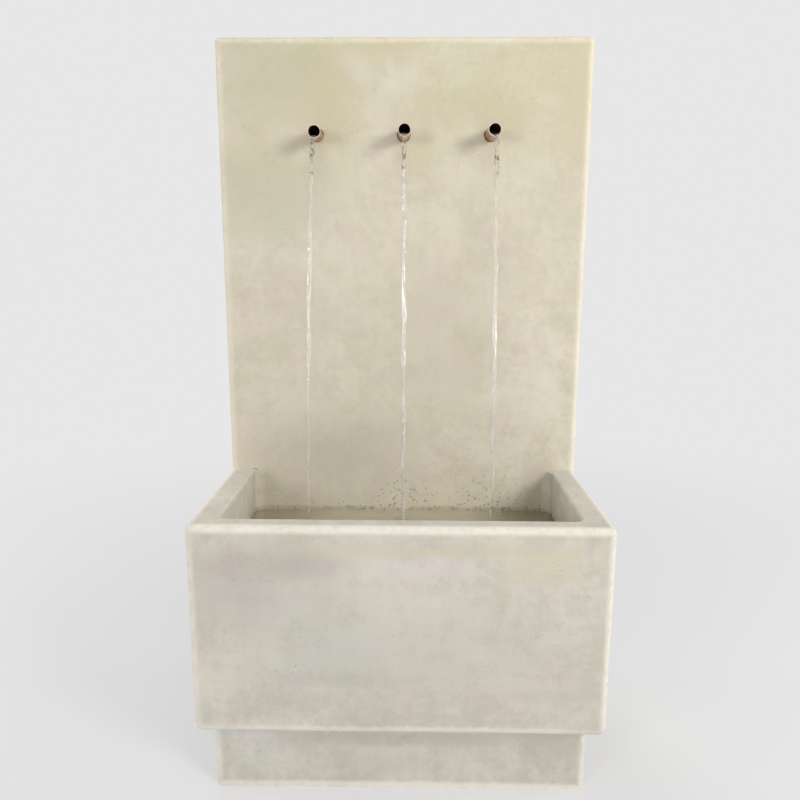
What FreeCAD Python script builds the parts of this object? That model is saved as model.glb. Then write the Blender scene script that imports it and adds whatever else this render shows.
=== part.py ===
"""Garden wall fountain of cast stone with three copper spouts.

A hollow plinth carries a trough basin, and a tall back panel stands in the basin on a tongue.
A recess in the panel's back holds the pipework: each spout has its own ball valve, the three
valves stand on one manifold, and a riser brings the water up from a submersible pump.

Frame: millimetres, +Z up, +X to the right of someone facing the fountain, +Y towards the wall.
The origin is the centre of the footprint, on the ground.
"""
import FreeCAD
import Part
import math
import os
import Sketcher

SIZES = {
    # Whole fountain
    "fountain_width": 864,
    "fountain_depth": 508,
    # Plinth
    "plinth_height": 149,
    "plinth_setback": 32,
    "plinth_wall": 70,
    "plinth_edge_radius": 13,
    "plinth_inner_radius": 20,
    "notch_width": 60,
    "notch_height": 45,
    # Rubber pads between plinth and basin
    "pad_length": 60,
    "pad_width": 40,
    "pad_thickness": 3,
    "pad_corner_radius": 5,
    # Basin
    "basin_height": 458,
    "front_wall": 48,
    "side_wall": 59,
    "back_wall": 32,
    "floor_thickness": 60,
    "basin_edge_radius": 15,
    "rim_inner_radius": 6,
    "inner_corner_radius": 20,
    "floor_cove_radius": 15,
    # Back panel
    "panel_rise": 1016,
    "panel_thickness": 102,
    "panel_edge_radius": 12,
    "tongue_side_gap": 5,
    "tongue_back_gap": 2,
    "seat_strip_length": 600,
    "seat_strip_width": 40,
    "seat_strip_thickness": 3,
    "cove_leg": 22,
    # Dowels between basin rim and panel
    "dowel_radius": 6,
    "dowel_length": 80,
    "dowel_side_gap": 0.5,
    "dowel_end_gap": 3,
    "dowel_tip_chamfer": 1,
    # Threaded sockets for the wall ties
    "anchor_radius": 8,
    "anchor_length": 45,
    "anchor_thread_radius": 4.25,
    "anchor_thread_depth": 35,
    "anchor_pitch_across": 660,
    "anchor_pitch_up": 780,
    "anchor_top_drop": 96,
    # Clearances shared by fixed fits
    "fit_gap": 0.05,
    # Recess and riser chase in the back of the panel
    "spout_wall_thickness": 34,
    "recess_width": 500,
    "recess_above_spouts": 38,
    "recess_below_manifold": 25,
    "recess_corner_radius": 15,
    "chase_width": 44,
    "pipe_standoff": 21,
    "riser_standoff": 15,
    "chase_below_stub": 25,
    # Spouts
    "spout_pitch": 201,
    "spout_drop": 213,
    "spout_reach": 79,
    "spout_radius": 14.3,
    "spout_tube_wall": 0.9,
    "spout_insertion": 10,
    "spout_seal_thickness": 1.7,
    "spout_seal_setback": 4,
    # Copper tube and its fittings
    "tube_radius": 11.1,
    "tube_wall": 1,
    "solder_gap": 0.05,
    "fitting_wall": 1.4,
    "fitting_arm": 25,
    "fitting_bead_length": 3,
    "fitting_bead_height": 0.8,
    "socket_depth": 13,
    "spout_elbow_leg": 28,
    # Ball valves
    "valve_drop": 75,
    "manifold_drop": 69,
    "valve_half_length": 30,
    "valve_belly_radius": 17,
    "valve_belly_half_length": 17,
    "valve_thread_radius": 13,
    "valve_port_radius": 9.5,
    "ball_radius": 13,
    "ball_cavity_radius": 13.3,
    "ball_seat_gap": 0.1,
    "neck_radius": 8,
    "neck_height": 24,
    "stem_radius": 4,
    "stem_running_gap": 0.05,
    "stem_tang_thickness": 3,
    "stem_tang_depth": 2.5,
    "tang_gap": 0.1,
    "gland_flats": 20,
    "gland_height": 4,
    "lever_thickness": 2.5,
    "lever_width": 12,
    "lever_head_radius": 10,
    "lever_length": 66,
    "lever_washer_gap": 0.5,
    "lever_nut_flats": 13,
    "lever_nut_height": 5,
    "stem_tip": 1,
    "valve_nut_flats": 30,
    "valve_nut_start": 21.5,
    "valve_nut_length": 16,
    # Riser
    "stub_height": 226,
    "stub_reach": 35,
    "stub_seal_thickness": 4,
    "stub_seal_lip": 3,
    "stub_seal_setback": 2,
    "clip_count": 3,
    "clip_pitch": 240,
    "clip_first_rise": 90,
    "clip_height": 14,
    "clip_width": 30,
    "clip_lip": 4,
    "clip_head_gap": 0.4,
    "clip_screw_radius": 2,
    "clip_screw_head_radius": 4,
    "clip_screw_head_height": 2,
    "clip_screw_depth": 22,
    "screw_side_gap": 0.1,
    # Pump
    "pump_width": 96,
    "pump_tall": 92,
    "pump_length": 75,
    "pump_edge_radius": 10,
    "foot_height": 10,
    "outlet_from_panel": 112,
    "volute_start_radius": 30,
    "volute_growth": 3,
    "volute_wall": 3.5,
    "volute_thickness": 34,
    "volute_flange": 4,
    "outlet_radius": 15.5,
    "outlet_bore_radius": 11.5,
    "outlet_rise": 56,
    "outlet_bore_depth": 46,
    "intake_radius": 13,
    "collar_radius": 30,
    "collar_wall": 4,
    "collar_length": 6,
    "spider_hub_radius": 7,
    "spider_hub_length": 7,
    "spider_arm": 3,
    "spider_arm_count": 3,
    "shaft_radius": 2.5,
    "shaft_running_gap": 0.05,
    "shaft_end_setback": 1,
    "bush_radius": 4.5,
    "bush_length": 5,
    "bush_seat_depth": 6,
    "magnet_radius": 13.5,
    "magnet_length": 46,
    "magnet_setback": 3,
    "rotor_sleeve_radius": 5.5,
    "rotor_sleeve_tail": 1.5,
    "rotor_well_radius": 14.5,
    "rotor_well_depth": 56,
    "impeller_radius": 25,
    "impeller_disc": 3,
    "impeller_disc_setback": 7,
    "impeller_hub_radius": 8,
    "blade_count": 6,
    "blade_height": 16,
    "blade_thickness": 2,
    "blade_bow_radius": 18,
    "blade_bow_offset": 14,
    "blade_first_angle": 66,
    "blade_last_angle": -7,
    "pump_screw_inset": 6,
    "pump_screw_radius": 2,
    "pump_screw_head_radius": 3.5,
    "pump_screw_head_height": 3,
    "pump_screw_length": 16,
    "seal_ring_radius": 43.5,
    "seal_section_radius": 1.2,
    # Intake cover and flow dial
    "cover_length": 34,
    "cover_wall": 2.5,
    "cover_fit_gap": 0.1,
    "cover_seat_gap": 0.3,
    "cover_edge_radius": 2,
    "cover_side_slots": 20,
    "cover_face_slots": 12,
    "slot_width": 3,
    "side_slot_length": 18,
    "side_slot_from_front": 6,
    "face_slot_inner_radius": 17,
    "face_slot_outer_radius": 26,
    "dial_radius": 14,
    "dial_thickness": 3,
    "dial_pin_radius": 3,
    "dial_pin_gap": 0.1,
    "dial_catch_radius": 4,
    "dial_catch_length": 1.5,
    "dial_grip_width": 4,
    "dial_grip_height": 6,
    "dial_window_inner": 5.5,
    "dial_window_outer": 12,
    "dial_window_angle": 80,
    "dial_face_gap": 0.3,
    # Pump feet and gland
    "foot_radius": 13,
    "foot_rim": 2,
    "foot_hollow": 3,
    "foot_neck_radius": 6,
    "foot_neck_height": 3,
    "foot_stem_radius": 4,
    "foot_stem_height": 5,
    "foot_inset": 14,
    "gland_body_radius": 7,
    "gland_body_height": 16,
    "gland_base_height": 6,
    "gland_tip_radius": 5.5,
    "cord_hole_radius": 3.5,
    "cord_hole_depth": 12,
    "gland_from_back": 22,
    # Moulded rubber elbow from the pump's nozzle to the riser's stub
    "elbow_wall": 3,
    "elbow_bend_radius": 70,
    "elbow_grip": 22,
    "nozzle_grip": 20,
    "nozzle_flats": 28,
    "nozzle_base_height": 8,
    "nozzle_thread_length": 10,
    "nozzle_bore_radius": 8.5,
    "barb_count": 4,
    "barb_height": 0.8,
    "clamp_band": 1,
    "clamp_width": 10,
    "clamp_box_length": 12,
    "clamp_box_height": 7,
    "clamp_end_margin": 4,
    # Drain
    "drain_offset": 220,
    "drain_tube_radius": 25,
    "drain_hole_gap": 1,
    "drain_bore_radius": 19,
    "drain_bore_taper": 2,
    "drain_taper_length": 30,
    "drain_flange_radius": 34,
    "drain_flange_thickness": 5,
    "drain_gasket_thickness": 2,
    "drain_nut_flats": 66,
    "drain_nut_height": 10,
    "drain_thread_past_nut": 3,
    "drain_tail_radius": 20,
    "drain_tail_length": 22,
    "stopper_gap": 0.3,
    "stopper_length": 26,
    "stopper_head_radius": 24,
    "stopper_head_height": 6,
    "stopper_tab_width": 18,
    "stopper_tab_height": 18,
    "stopper_tab_thickness": 4,
    "stopper_cord_offset": 10,
    "stopper_slit": 1,
}

ROOT_THREE = math.sqrt(3)
ROOT_TWO = math.sqrt(2)
# The three lines of pipework, as multiples of the spouts' spacing to the right of the middle
LINES = {"left": -1, "center": 0, "right": 1}
# How far a cut runs past the face where it starts or ends
OVERRUN = 5
CLOCKWISE = -1


class Size:
    """A length that carries both its value and the sheet expression that gives it."""

    def __init__(self, value, text):
        self.value = float(value)
        self.text = text

    def __add__(self, other):
        other = as_size(other)
        return Size(self.value + other.value, f"({self.text} + {other.text})")

    def __sub__(self, other):
        other = as_size(other)
        return Size(self.value - other.value, f"({self.text} - {other.text})")

    def __mul__(self, other):
        other = as_size(other)
        return Size(self.value * other.value, f"({self.text} * {other.text})")

    def __truediv__(self, other):
        other = as_size(other)
        return Size(self.value / other.value, f"({self.text} / {other.text})")

    def __radd__(self, other):
        return as_size(other) + self

    def __rsub__(self, other):
        return as_size(other) - self

    def __rmul__(self, other):
        return as_size(other) * self

    def __neg__(self):
        return as_size(-1) * self

    def root(self):
        """The square root of this size."""
        return Size(math.sqrt(self.value), f"sqrt({self.text})")

    def at_angle(self, degrees):
        """The (u, v) of a point at this distance from the origin, at an angle from the u axis."""
        angle = as_size(degrees)
        cosine = Size(math.cos(math.radians(angle.value)), f"cos({angle.text})")
        sine = Size(math.sin(math.radians(angle.value)), f"sin({angle.text})")
        return self * cosine, self * sine


def as_size(number):
    """Take a plain number as a size with no name."""
    if isinstance(number, Size):
        return number
    return Size(number, f"({float(number):.6f})")


class Sheet:
    """The driving dimensions, read as attributes: dims.basin_height is a Size."""

    def __init__(self, document, sizes):
        self.cells = document.addObject("Spreadsheet::Sheet", "dims")
        self.sizes = sizes
        for row, (alias, value) in enumerate(sizes.items(), start=1):
            self.cells.set(f"A{row}", alias.replace("_", " "))
            self.cells.set(f"B{row}", str(value))
            self.cells.setAlias(f"B{row}", alias)

    def __getattr__(self, alias):
        return Size(self.sizes[alias], f"dims.{alias}")


doc = FreeCAD.newDocument("wall_fountain")
dims = Sheet(doc, SIZES)
doc.recompute()

# Levels and planes that several pieces share
front_y = -dims.fountain_depth / 2
back_y = dims.fountain_depth / 2
underside_z = dims.plinth_height + dims.pad_thickness
rim_z = underside_z + dims.basin_height
floor_z = underside_z + dims.floor_thickness
top_z = rim_z + dims.panel_rise
face_y = back_y - dims.panel_thickness
inner_half_width = dims.fountain_width / 2 - dims.side_wall
tongue_thickness = dims.panel_thickness - dims.back_wall - dims.tongue_back_gap
tongue_half_width = inner_half_width - dims.tongue_side_gap
tongue_length = dims.basin_height - dims.floor_thickness - dims.seat_strip_thickness
bed_y = face_y + dims.spout_wall_thickness
pipe_y = bed_y + dims.pipe_standoff
chase_y = pipe_y - dims.riser_standoff
spout_z = top_z - dims.spout_drop
valve_z = spout_z - dims.valve_drop
manifold_z = valve_z - dims.manifold_drop
stub_z = floor_z + dims.stub_height
socket_radius = dims.tube_radius + dims.solder_gap
fitting_radius = socket_radius + dims.fitting_wall
tube_bore_radius = dims.tube_radius - dims.tube_wall
spout_hole_radius = dims.spout_radius + dims.spout_seal_thickness
stub_hole_radius = dims.tube_radius + dims.stub_seal_thickness
dowel_x = dims.fountain_width / 2 - dims.side_wall / 2
dowel_y = face_y + dims.panel_thickness / 2
# The pump's own axis and the plane where the volute meets the motor housing
pump_axis_z = floor_z + dims.foot_height + dims.pump_tall / 2
volute_end_radius = dims.volute_start_radius + 3 * dims.volute_growth
volute_right = dims.volute_growth / 2 + volute_end_radius + dims.volute_wall
outlet_offset = volute_right - dims.outlet_radius
pump_x = -outlet_offset
outlet_y = face_y - dims.outlet_from_panel
pump_y = outlet_y + dims.volute_thickness / 2
volute_front = -dims.volute_thickness


def new_body(label):
    """A piece made of sketches and features."""
    body = doc.addObject("PartDesign::Body", label)
    body.Label = label
    return body


def place(item, x=0, y=0, z=0):
    """Stand a piece at a point of the fountain's frame."""
    for axis, size in zip("xyz", (x, y, z)):
        item.setExpression(f"Placement.Base.{axis}", as_size(size).text)
    return item


def sketch_on(body, role, shift=(0, 0, 0)):
    """A sketch on one of the body's own origin planes, moved within and off that plane."""
    plane = next(item for item in body.Origin.OriginFeatures if item.Role == role)
    sketch = body.newObject("Sketcher::SketchObject", f"{body.Name}_sketch")
    sketch.AttachmentSupport = [(plane, "")]
    sketch.MapMode = "FlatFace"
    for axis, size in zip("xyz", shift):
        sketch.setExpression(f"AttachmentOffset.Base.{axis}", as_size(size).text)
    return sketch


def tie(sketch, kind, geometry, point, size):
    """Hold a point or a radius of a sketch at a size."""
    if kind == "Radius":
        index = sketch.addConstraint(Sketcher.Constraint(kind, geometry, size.value))
    else:
        index = sketch.addConstraint(Sketcher.Constraint(kind, -1, 1, geometry, point, size.value))
    sketch.setExpression(f"Constraints[{index}]", size.text)


def outline(sketch, corners):
    """A closed outline. A corner is (u, v), or (u, v, centre_u, centre_v) where the edge that
    leaves it is an arc about that centre, anticlockwise unless CLOCKWISE follows as a fifth item."""
    start = sketch.GeometryCount
    clockwise = [len(corner) == 5 for corner in corners]
    sized = [[as_size(number) for number in corner[:4]] for corner in corners]
    points = [FreeCAD.Vector(corner[0].value, corner[1].value, 0) for corner in sized]
    following = points[1:] + points[:1]
    for corner, point, target, backwards in zip(sized, points, following, clockwise):
        if len(corner) == 2:
            sketch.addGeometry(Part.LineSegment(point, target), False)
            continue
        centre = FreeCAD.Vector(corner[2].value, corner[3].value, 0)
        circle = Part.Circle(centre, FreeCAD.Vector(0, 0, 1), (point - centre).Length)
        ends = (target, point) if backwards else (point, target)
        first, last = (math.atan2(end.y - centre.y, end.x - centre.x) for end in ends)
        sketch.addGeometry(Part.ArcOfCircle(circle, first, last), False)
    # An edge starts at its own first point, and at its last one where it is a clockwise arc
    heads = [2 if backwards else 1 for backwards in clockwise]
    for index, corner in enumerate(sized):
        after = (index + 1) % len(sized)
        tail = 3 - heads[index]
        sketch.addConstraint(
            Sketcher.Constraint("Coincident", start + index, tail, start + after, heads[after]))
        tie(sketch, "DistanceX", start + index, heads[index], corner[0])
        tie(sketch, "DistanceY", start + index, heads[index], corner[1])
        if len(corner) == 4:
            chord = following[index] - points[index]
            if abs(chord.x) > abs(chord.y):
                tie(sketch, "DistanceY", start + index, 3, corner[3])
            else:
                tie(sketch, "DistanceX", start + index, 3, corner[2])
    return sketch


def rectangle(sketch, left, bottom, right, top):
    """A rectangle by its four sides."""
    return outline(sketch, [(left, bottom), (right, bottom), (right, top), (left, top)])


def circle(sketch, u, v, radius):
    """A circle by its centre and radius."""
    u, v, radius = as_size(u), as_size(v), as_size(radius)
    shape = Part.Circle(FreeCAD.Vector(u.value, v.value, 0), FreeCAD.Vector(0, 0, 1), radius.value)
    index = sketch.addGeometry(shape, False)
    tie(sketch, "Radius", index, 0, radius)
    tie(sketch, "DistanceX", index, 3, u)
    tie(sketch, "DistanceY", index, 3, v)
    return sketch


def hexagon(sketch, flats):
    """A hexagon about the sketch's origin, by its width across flats."""
    half = as_size(flats) / 2
    side = half * 2 / ROOT_THREE
    return outline(sketch, [(side, 0), (side / 2, half), (-side / 2, half),
                            (-side, 0), (-side / 2, -half), (side / 2, -half)])


def pad(body, sketch, length, reverse=False, symmetric=False):
    """Add the sketch's area, drawn out along its normal or against it."""
    feature = body.newObject("PartDesign::Pad", f"{body.Name}_pad")
    feature.Profile = sketch
    feature.Reversed = reverse
    if symmetric:
        feature.SideType = "Symmetric"
    feature.setExpression("Length", as_size(length).text)
    return feature


def cut(body, sketch, length, reverse=False, symmetric=False):
    """Remove the sketch's area, drawn out against its normal or along it."""
    doc.recompute()
    before = body.Shape.Volume
    feature = body.newObject("PartDesign::Pocket", f"{body.Name}_pocket")
    feature.Profile = sketch
    feature.Reversed = reverse
    if symmetric:
        feature.SideType = "Symmetric"
    feature.setExpression("Length", as_size(length).text)
    doc.recompute()
    if not body.Shape.Volume < before:
        raise RuntimeError(f"{body.Label}: a pocket removes nothing")
    return feature


def turn(body, sketch, angle=360, axis="V_Axis", reverse=False):
    """Add the sketch's area, turned about one of the sketch's own axes."""
    feature = body.newObject("PartDesign::Revolution", f"{body.Name}_turned")
    feature.Profile = sketch
    feature.ReferenceAxis = (sketch, [axis])
    feature.Angle = angle
    feature.Reversed = reverse
    return feature


def turn_away(body, sketch, axis="V_Axis"):
    """Remove the sketch's area, turned about one of the sketch's own axes."""
    doc.recompute()
    before = body.Shape.Volume
    feature = body.newObject("PartDesign::Groove", f"{body.Name}_groove")
    feature.Profile = sketch
    feature.ReferenceAxis = (sketch, [axis])
    feature.Angle = 360
    doc.recompute()
    if not body.Shape.Volume < before:
        raise RuntimeError(f"{body.Label}: a groove removes nothing")
    return feature


def dress(body, kind, size, wanted):
    """Fillet or chamfer the edges that the test wanted picks out of the piece so far."""
    doc.recompute()
    base = body.Tip
    names = [f"Edge{index}" for index, edge in enumerate(base.Shape.Edges, start=1) if wanted(edge)]
    if not names:
        raise RuntimeError(f"{body.Label}: no edge to dress")
    feature = body.newObject(f"PartDesign::{kind}", f"{body.Name}_{kind.lower()}")
    feature.Base = (base, names)
    feature.setExpression("Radius" if kind == "Fillet" else "Size", as_size(size).text)
    return feature


def ring_of(body, feature, count, axis_role):
    """Repeat a feature evenly about one of the body's own axes."""
    axis = next(item for item in body.Origin.OriginFeatures if item.Role == axis_role)
    pattern = body.newObject("PartDesign::PolarPattern", f"{body.Name}_pattern")
    pattern.Originals = [feature]
    pattern.Axis = (axis, [""])
    pattern.Angle = 360
    pattern.setExpression("Occurrences", as_size(count).text)
    body.Tip = pattern
    return pattern


def group(label, pieces):
    """One node that holds several separate solids."""
    compound = doc.addObject("Part::Compound", label)
    compound.Label = label
    compound.Links = pieces
    return compound


def near(value, size):
    """Whether a measured value is the size, to a hundredth."""
    return abs(value - as_size(size).value) < 0.01


def runs_along(edge, axis):
    """Whether an edge is straight along the named axis."""
    box = edge.BoundBox
    spans = {"x": box.XLength, "y": box.YLength, "z": box.ZLength}
    along = spans.pop(axis)
    return along > 0.01 and max(spans.values()) < 0.01


AXIS_SKETCH = {"y": "XY_Plane", "z": "XZ_Plane"}


def turned(label, axis, profile):
    """A piece turned about its own y or z axis from corners of (radius, distance along)."""
    body = new_body(label)
    turn(body, outline(sketch_on(body, AXIS_SKETCH[axis]), profile))
    return body


def ring(label, axis, inner, outer, start, end):
    """A plain ring or tube about its own y or z axis."""
    return turned(label, axis, [(inner, start), (outer, start), (outer, end), (inner, end)])


def cross_tube(label, start, end):
    """A length of copper tube along x."""
    body = new_body(label)
    wall = outline(sketch_on(body, "XY_Plane"), [
        (start, tube_bore_radius), (end, tube_bore_radius),
        (end, dims.tube_radius), (start, dims.tube_radius)])
    turn(body, wall, axis="H_Axis")
    return body


# Plinth: an open frame that hides the drain and leaves a way out for the pump's lead

def plinth():
    """The open frame, rounded on its outer edges, with an arched notch in the middle of its back."""
    body = new_body("plinth")
    half_width = dims.fountain_width / 2 - dims.plinth_setback
    front = front_y + dims.plinth_setback
    wall = dims.plinth_wall
    block = rectangle(sketch_on(body, "XY_Plane"), -half_width, front, half_width, back_y)
    pad(body, block, dims.plinth_height)
    dress(body, "Fillet", dims.plinth_edge_radius, lambda edge: edge.BoundBox.ZMax > 1)
    hollow = rectangle(sketch_on(body, "XY_Plane"),
                       -half_width + wall, front + wall, half_width - wall, back_y - wall)
    cut(body, hollow, dims.plinth_height + OVERRUN, reverse=True)
    inner_corner_x = (half_width - wall).value
    dress(body, "Fillet", dims.plinth_inner_radius,
          lambda edge: runs_along(edge, "z") and near(abs(edge.CenterOfMass.x), inner_corner_x))
    half_notch = dims.notch_width / 2
    spring = dims.notch_height - half_notch
    arch = outline(sketch_on(body, "XZ_Plane", (0, 0, -back_y - OVERRUN)), [
        (-half_notch, -OVERRUN), (half_notch, -OVERRUN),
        (half_notch, spring, 0, spring), (-half_notch, spring)])
    cut(body, arch, wall + 2 * OVERRUN, reverse=True)
    return place(body)


def setting_pads():
    """Pads on the plinth's four corners and the middle of its two sides."""
    across = dims.fountain_width / 2 - dims.plinth_setback - dims.plinth_wall / 2
    front = front_y + dims.plinth_setback + dims.plinth_wall / 2
    back = back_y - dims.plinth_wall / 2
    pads = []
    for side in (-1, 1):
        for row, along in enumerate((front, (front + back) / 2, back)):
            pads.append(slab(f"setting_pad_{len(pads) + 1}", dims.pad_length, dims.pad_width,
                             dims.pad_thickness, dims.pad_corner_radius))
            place(pads[-1], side * across, along, dims.plinth_height)
    return group("setting_pads", pads)


def slab(label, length, width, thickness, corner):
    """A flat pad with round corners, centred on its own origin."""
    body = new_body(label)
    plan = rectangle(sketch_on(body, "XY_Plane"), -length / 2, -width / 2, length / 2, width / 2)
    pad(body, plan, thickness)
    dress(body, "Fillet", corner, lambda edge: runs_along(edge, "z"))
    return body


# Basin: one casting with four walls, standing on its own origin at the middle of its underside

def basin():
    """The trough: four walls and a floor, with holes for the drain and for the panel's dowels."""
    body = new_body("basin")
    half_width = dims.fountain_width / 2
    block = rectangle(sketch_on(body, "XY_Plane"), -half_width, front_y, half_width, back_y)
    pad(body, block, dims.basin_height)
    dress(body, "Fillet", dims.basin_edge_radius, lambda edge: not is_under_panel(edge))
    inner_front = front_y + dims.front_wall
    inner_back = back_y - dims.back_wall
    hollow = rectangle(sketch_on(body, "XY_Plane", (0, 0, dims.basin_height)),
                       -inner_half_width, inner_front, inner_half_width, inner_back)
    cut(body, hollow, dims.basin_height - dims.floor_thickness)
    corner_x = inner_half_width.value
    dress(body, "Fillet", dims.inner_corner_radius,
          lambda edge: runs_along(edge, "z") and near(abs(edge.CenterOfMass.x), corner_x))
    dress(body, "Fillet", dims.floor_cove_radius,
          lambda edge: near(edge.BoundBox.ZMin, dims.floor_thickness)
          and near(edge.BoundBox.ZMax, dims.floor_thickness))
    dress(body, "Fillet", dims.rim_inner_radius, lambda edge: on_inner_rim(edge, inner_front, inner_back))
    drain = circle(sketch_on(body, "XY_Plane"), dims.drain_offset, 0,
                   dims.drain_tube_radius + dims.drain_hole_gap)
    cut(body, drain, dims.floor_thickness + OVERRUN, reverse=True)
    dowels = sketch_on(body, "XY_Plane", (0, 0, dims.basin_height))
    for side in (-1, 1):
        circle(dowels, side * dowel_x, dowel_y, dims.dowel_radius + dims.dowel_side_gap)
    cut(body, dowels, dims.dowel_length / 2)
    return place(body, z=underside_z)


def is_under_panel(edge):
    """Whether an edge of the basin's block is the sharp one at the top of its back."""
    centre = edge.CenterOfMass
    return near(centre.z, dims.basin_height) and centre.y > 1 and runs_along(edge, "x")


def on_inner_rim(edge, inner_front, inner_back):
    """Whether an edge is the top edge of the basin's hollow."""
    box = edge.BoundBox
    level = near(box.ZMin, dims.basin_height) and near(box.ZMax, dims.basin_height)
    within_x = max(abs(box.XMin), abs(box.XMax)) < inner_half_width.value + 0.01
    within_y = box.YMin > inner_front.value - 0.01 and box.YMax < inner_back.value + 0.01
    return level and within_x and within_y


# Back panel: its origin is on its front face, in the middle, at the level of the basin's rim

def back_panel():
    """The slab above the rim and the tongue that goes down between the basin's side walls."""
    body = new_body("back_panel")
    half_width = dims.fountain_width / 2
    slab_front = rectangle(sketch_on(body, "XZ_Plane"), -half_width, 0, half_width, dims.panel_rise)
    pad(body, slab_front, dims.panel_thickness, reverse=True)
    dress(body, "Fillet", dims.panel_edge_radius, lambda edge: edge.BoundBox.ZMax > 1)
    tongue = rectangle(sketch_on(body, "XZ_Plane"),
                       -tongue_half_width, -tongue_length, tongue_half_width, OVERRUN)
    pad(body, tongue, tongue_thickness, reverse=True)
    dress(body, "Chamfer", dims.inner_corner_radius / 2, lambda edge: runs_along(edge, "z")
          and near(edge.CenterOfMass.y, tongue_thickness) and edge.CenterOfMass.z < 0)
    dress(body, "Chamfer", dims.floor_cove_radius, lambda edge: near(edge.BoundBox.ZMax, -tongue_length)
          and edge.CenterOfMass.y > 1)
    cut_recess(body)
    cut_panel_holes(body)
    return place(body, 0, face_y, rim_z)


def cut_recess(body):
    """The open recess for the valves and manifold, and the chase for the riser below it."""
    from_back = (0, 0, -dims.panel_thickness)
    half_width = dims.recess_width / 2
    bottom = manifold_z - rim_z - dims.recess_below_manifold
    top = spout_z - rim_z + dims.recess_above_spouts
    recess = rectangle(sketch_on(body, "XZ_Plane", from_back), -half_width, bottom, half_width, top)
    cut(body, recess, back_y - bed_y, reverse=True)
    dress(body, "Fillet", dims.recess_corner_radius, lambda edge: runs_along(edge, "y")
          and near(abs(edge.CenterOfMass.x), half_width))
    half_chase = dims.chase_width / 2
    chase_bottom = stub_z - rim_z - dims.chase_below_stub
    chase = rectangle(sketch_on(body, "XZ_Plane", from_back),
                      -half_chase, chase_bottom, half_chase, bottom + OVERRUN)
    cut(body, chase, back_y - chase_y, reverse=True)


def cut_panel_holes(body):
    """Holes for the spouts and the riser's stub from the front, for dowels, ties and clip screws."""
    spouts = sketch_on(body, "XZ_Plane", (0, 0, OVERRUN))
    for line in LINES.values():
        circle(spouts, line * dims.spout_pitch, spout_z - rim_z, spout_hole_radius)
    cut(body, spouts, dims.spout_wall_thickness + 2 * OVERRUN)
    stub = circle(sketch_on(body, "XZ_Plane", (0, 0, OVERRUN)), 0, stub_z - rim_z, stub_hole_radius)
    cut(body, stub, chase_y - face_y + 2 * OVERRUN)
    dowels = sketch_on(body, "XY_Plane")
    for side in (-1, 1):
        circle(dowels, side * dowel_x, dowel_y - face_y, dims.dowel_radius + dims.dowel_side_gap)
    cut(body, dowels, dims.dowel_length / 2 + dims.dowel_end_gap, reverse=True)
    ties = sketch_on(body, "XZ_Plane", (0, 0, -dims.panel_thickness))
    for x, z in anchor_places():
        circle(ties, x, z - rim_z, dims.anchor_radius + dims.fit_gap)
    cut(body, ties, dims.anchor_length + dims.fit_gap, reverse=True)
    screws = sketch_on(body, "XZ_Plane", (0, 0, face_y - chase_y))
    for z in clip_levels():
        circle(screws, 0, z - rim_z, dims.clip_screw_radius + dims.screw_side_gap)
    cut(body, screws, dims.clip_screw_depth, reverse=True)


def anchor_places():
    """The four tie sockets in the panel's back, as (x, z)."""
    upper = top_z - dims.anchor_top_drop
    half = dims.anchor_pitch_across / 2
    return [(side * half, level) for side in (-1, 1) for level in (upper, upper - dims.anchor_pitch_up)]


def clip_levels():
    """The heights of the riser's clips."""
    first = rim_z + dims.clip_first_rise
    return [first + number * dims.clip_pitch for number in range(SIZES["clip_count"])]


def corner_coves():
    """Mortar coves that close the gaps between the panel's tongue and the basin's side walls."""
    leg = dims.cove_leg
    plans = {
        -1: [(0, 0), (leg, 0, leg, -leg), (0, -leg)],
        1: [(0, 0), (0, -leg, -leg, -leg), (-leg, 0)],
    }
    bottom = dims.floor_cove_radius
    height = dims.basin_height - dims.floor_thickness - dims.rim_inner_radius - bottom
    coves = []
    for side, plan in plans.items():
        body = new_body(f"corner_cove_{len(coves) + 1}")
        pad(body, outline(sketch_on(body, "XY_Plane"), plan), height)
        coves.append(place(body, side * inner_half_width, face_y, floor_z + bottom))
    return group("corner_coves", coves)


def seat_strip():
    """The rubber strip that the panel's tongue stands on."""
    strip = slab("tongue_seat_strip", dims.seat_strip_length, dims.seat_strip_width,
                 dims.seat_strip_thickness, dims.pad_corner_radius)
    return place(strip, 0, face_y + tongue_thickness / 2, floor_z)


def locating_dowels():
    """Stainless dowels that keep the panel's shoulders on the basin's rims."""
    tip = dims.dowel_tip_chamfer
    length = dims.dowel_length
    profile = [(0, 0), (dims.dowel_radius - tip, 0), (dims.dowel_radius, tip),
               (dims.dowel_radius, length - tip), (dims.dowel_radius - tip, length), (0, length)]
    dowels = []
    for side in (-1, 1):
        dowel = turned(f"locating_dowel_{len(dowels) + 1}", "z", profile)
        dowels.append(place(dowel, side * dowel_x, dowel_y, rim_z - length / 2))
    return group("locating_dowels", dowels)


def anchor_sockets():
    """Threaded sockets cast into the panel's back, open at the back face."""
    depth = dims.anchor_thread_depth
    profile = [(dims.anchor_thread_radius, 0), (dims.anchor_radius, 0),
               (dims.anchor_radius, -dims.anchor_length), (0, -dims.anchor_length),
               (0, -depth), (dims.anchor_thread_radius, -depth)]
    sockets = []
    for x, z in anchor_places():
        socket = turned(f"anchor_socket_{len(sockets) + 1}", "y", profile)
        sockets.append(place(socket, x, back_y, z))
    return group("anchor_sockets", sockets)


# Spouts, with the elbows that turn the pipework down behind the panel

def spouts():
    """Three copper tubes through the panel."""
    length = dims.spout_reach + dims.spout_wall_thickness + dims.spout_insertion
    bore = dims.spout_radius - dims.spout_tube_wall
    tubes = []
    for name, line in LINES.items():
        tube = ring(f"spout_{name}", "y", bore, dims.spout_radius, 0, length)
        tubes.append(place(tube, line * dims.spout_pitch, face_y - dims.spout_reach, spout_z))
    return tubes


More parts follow.
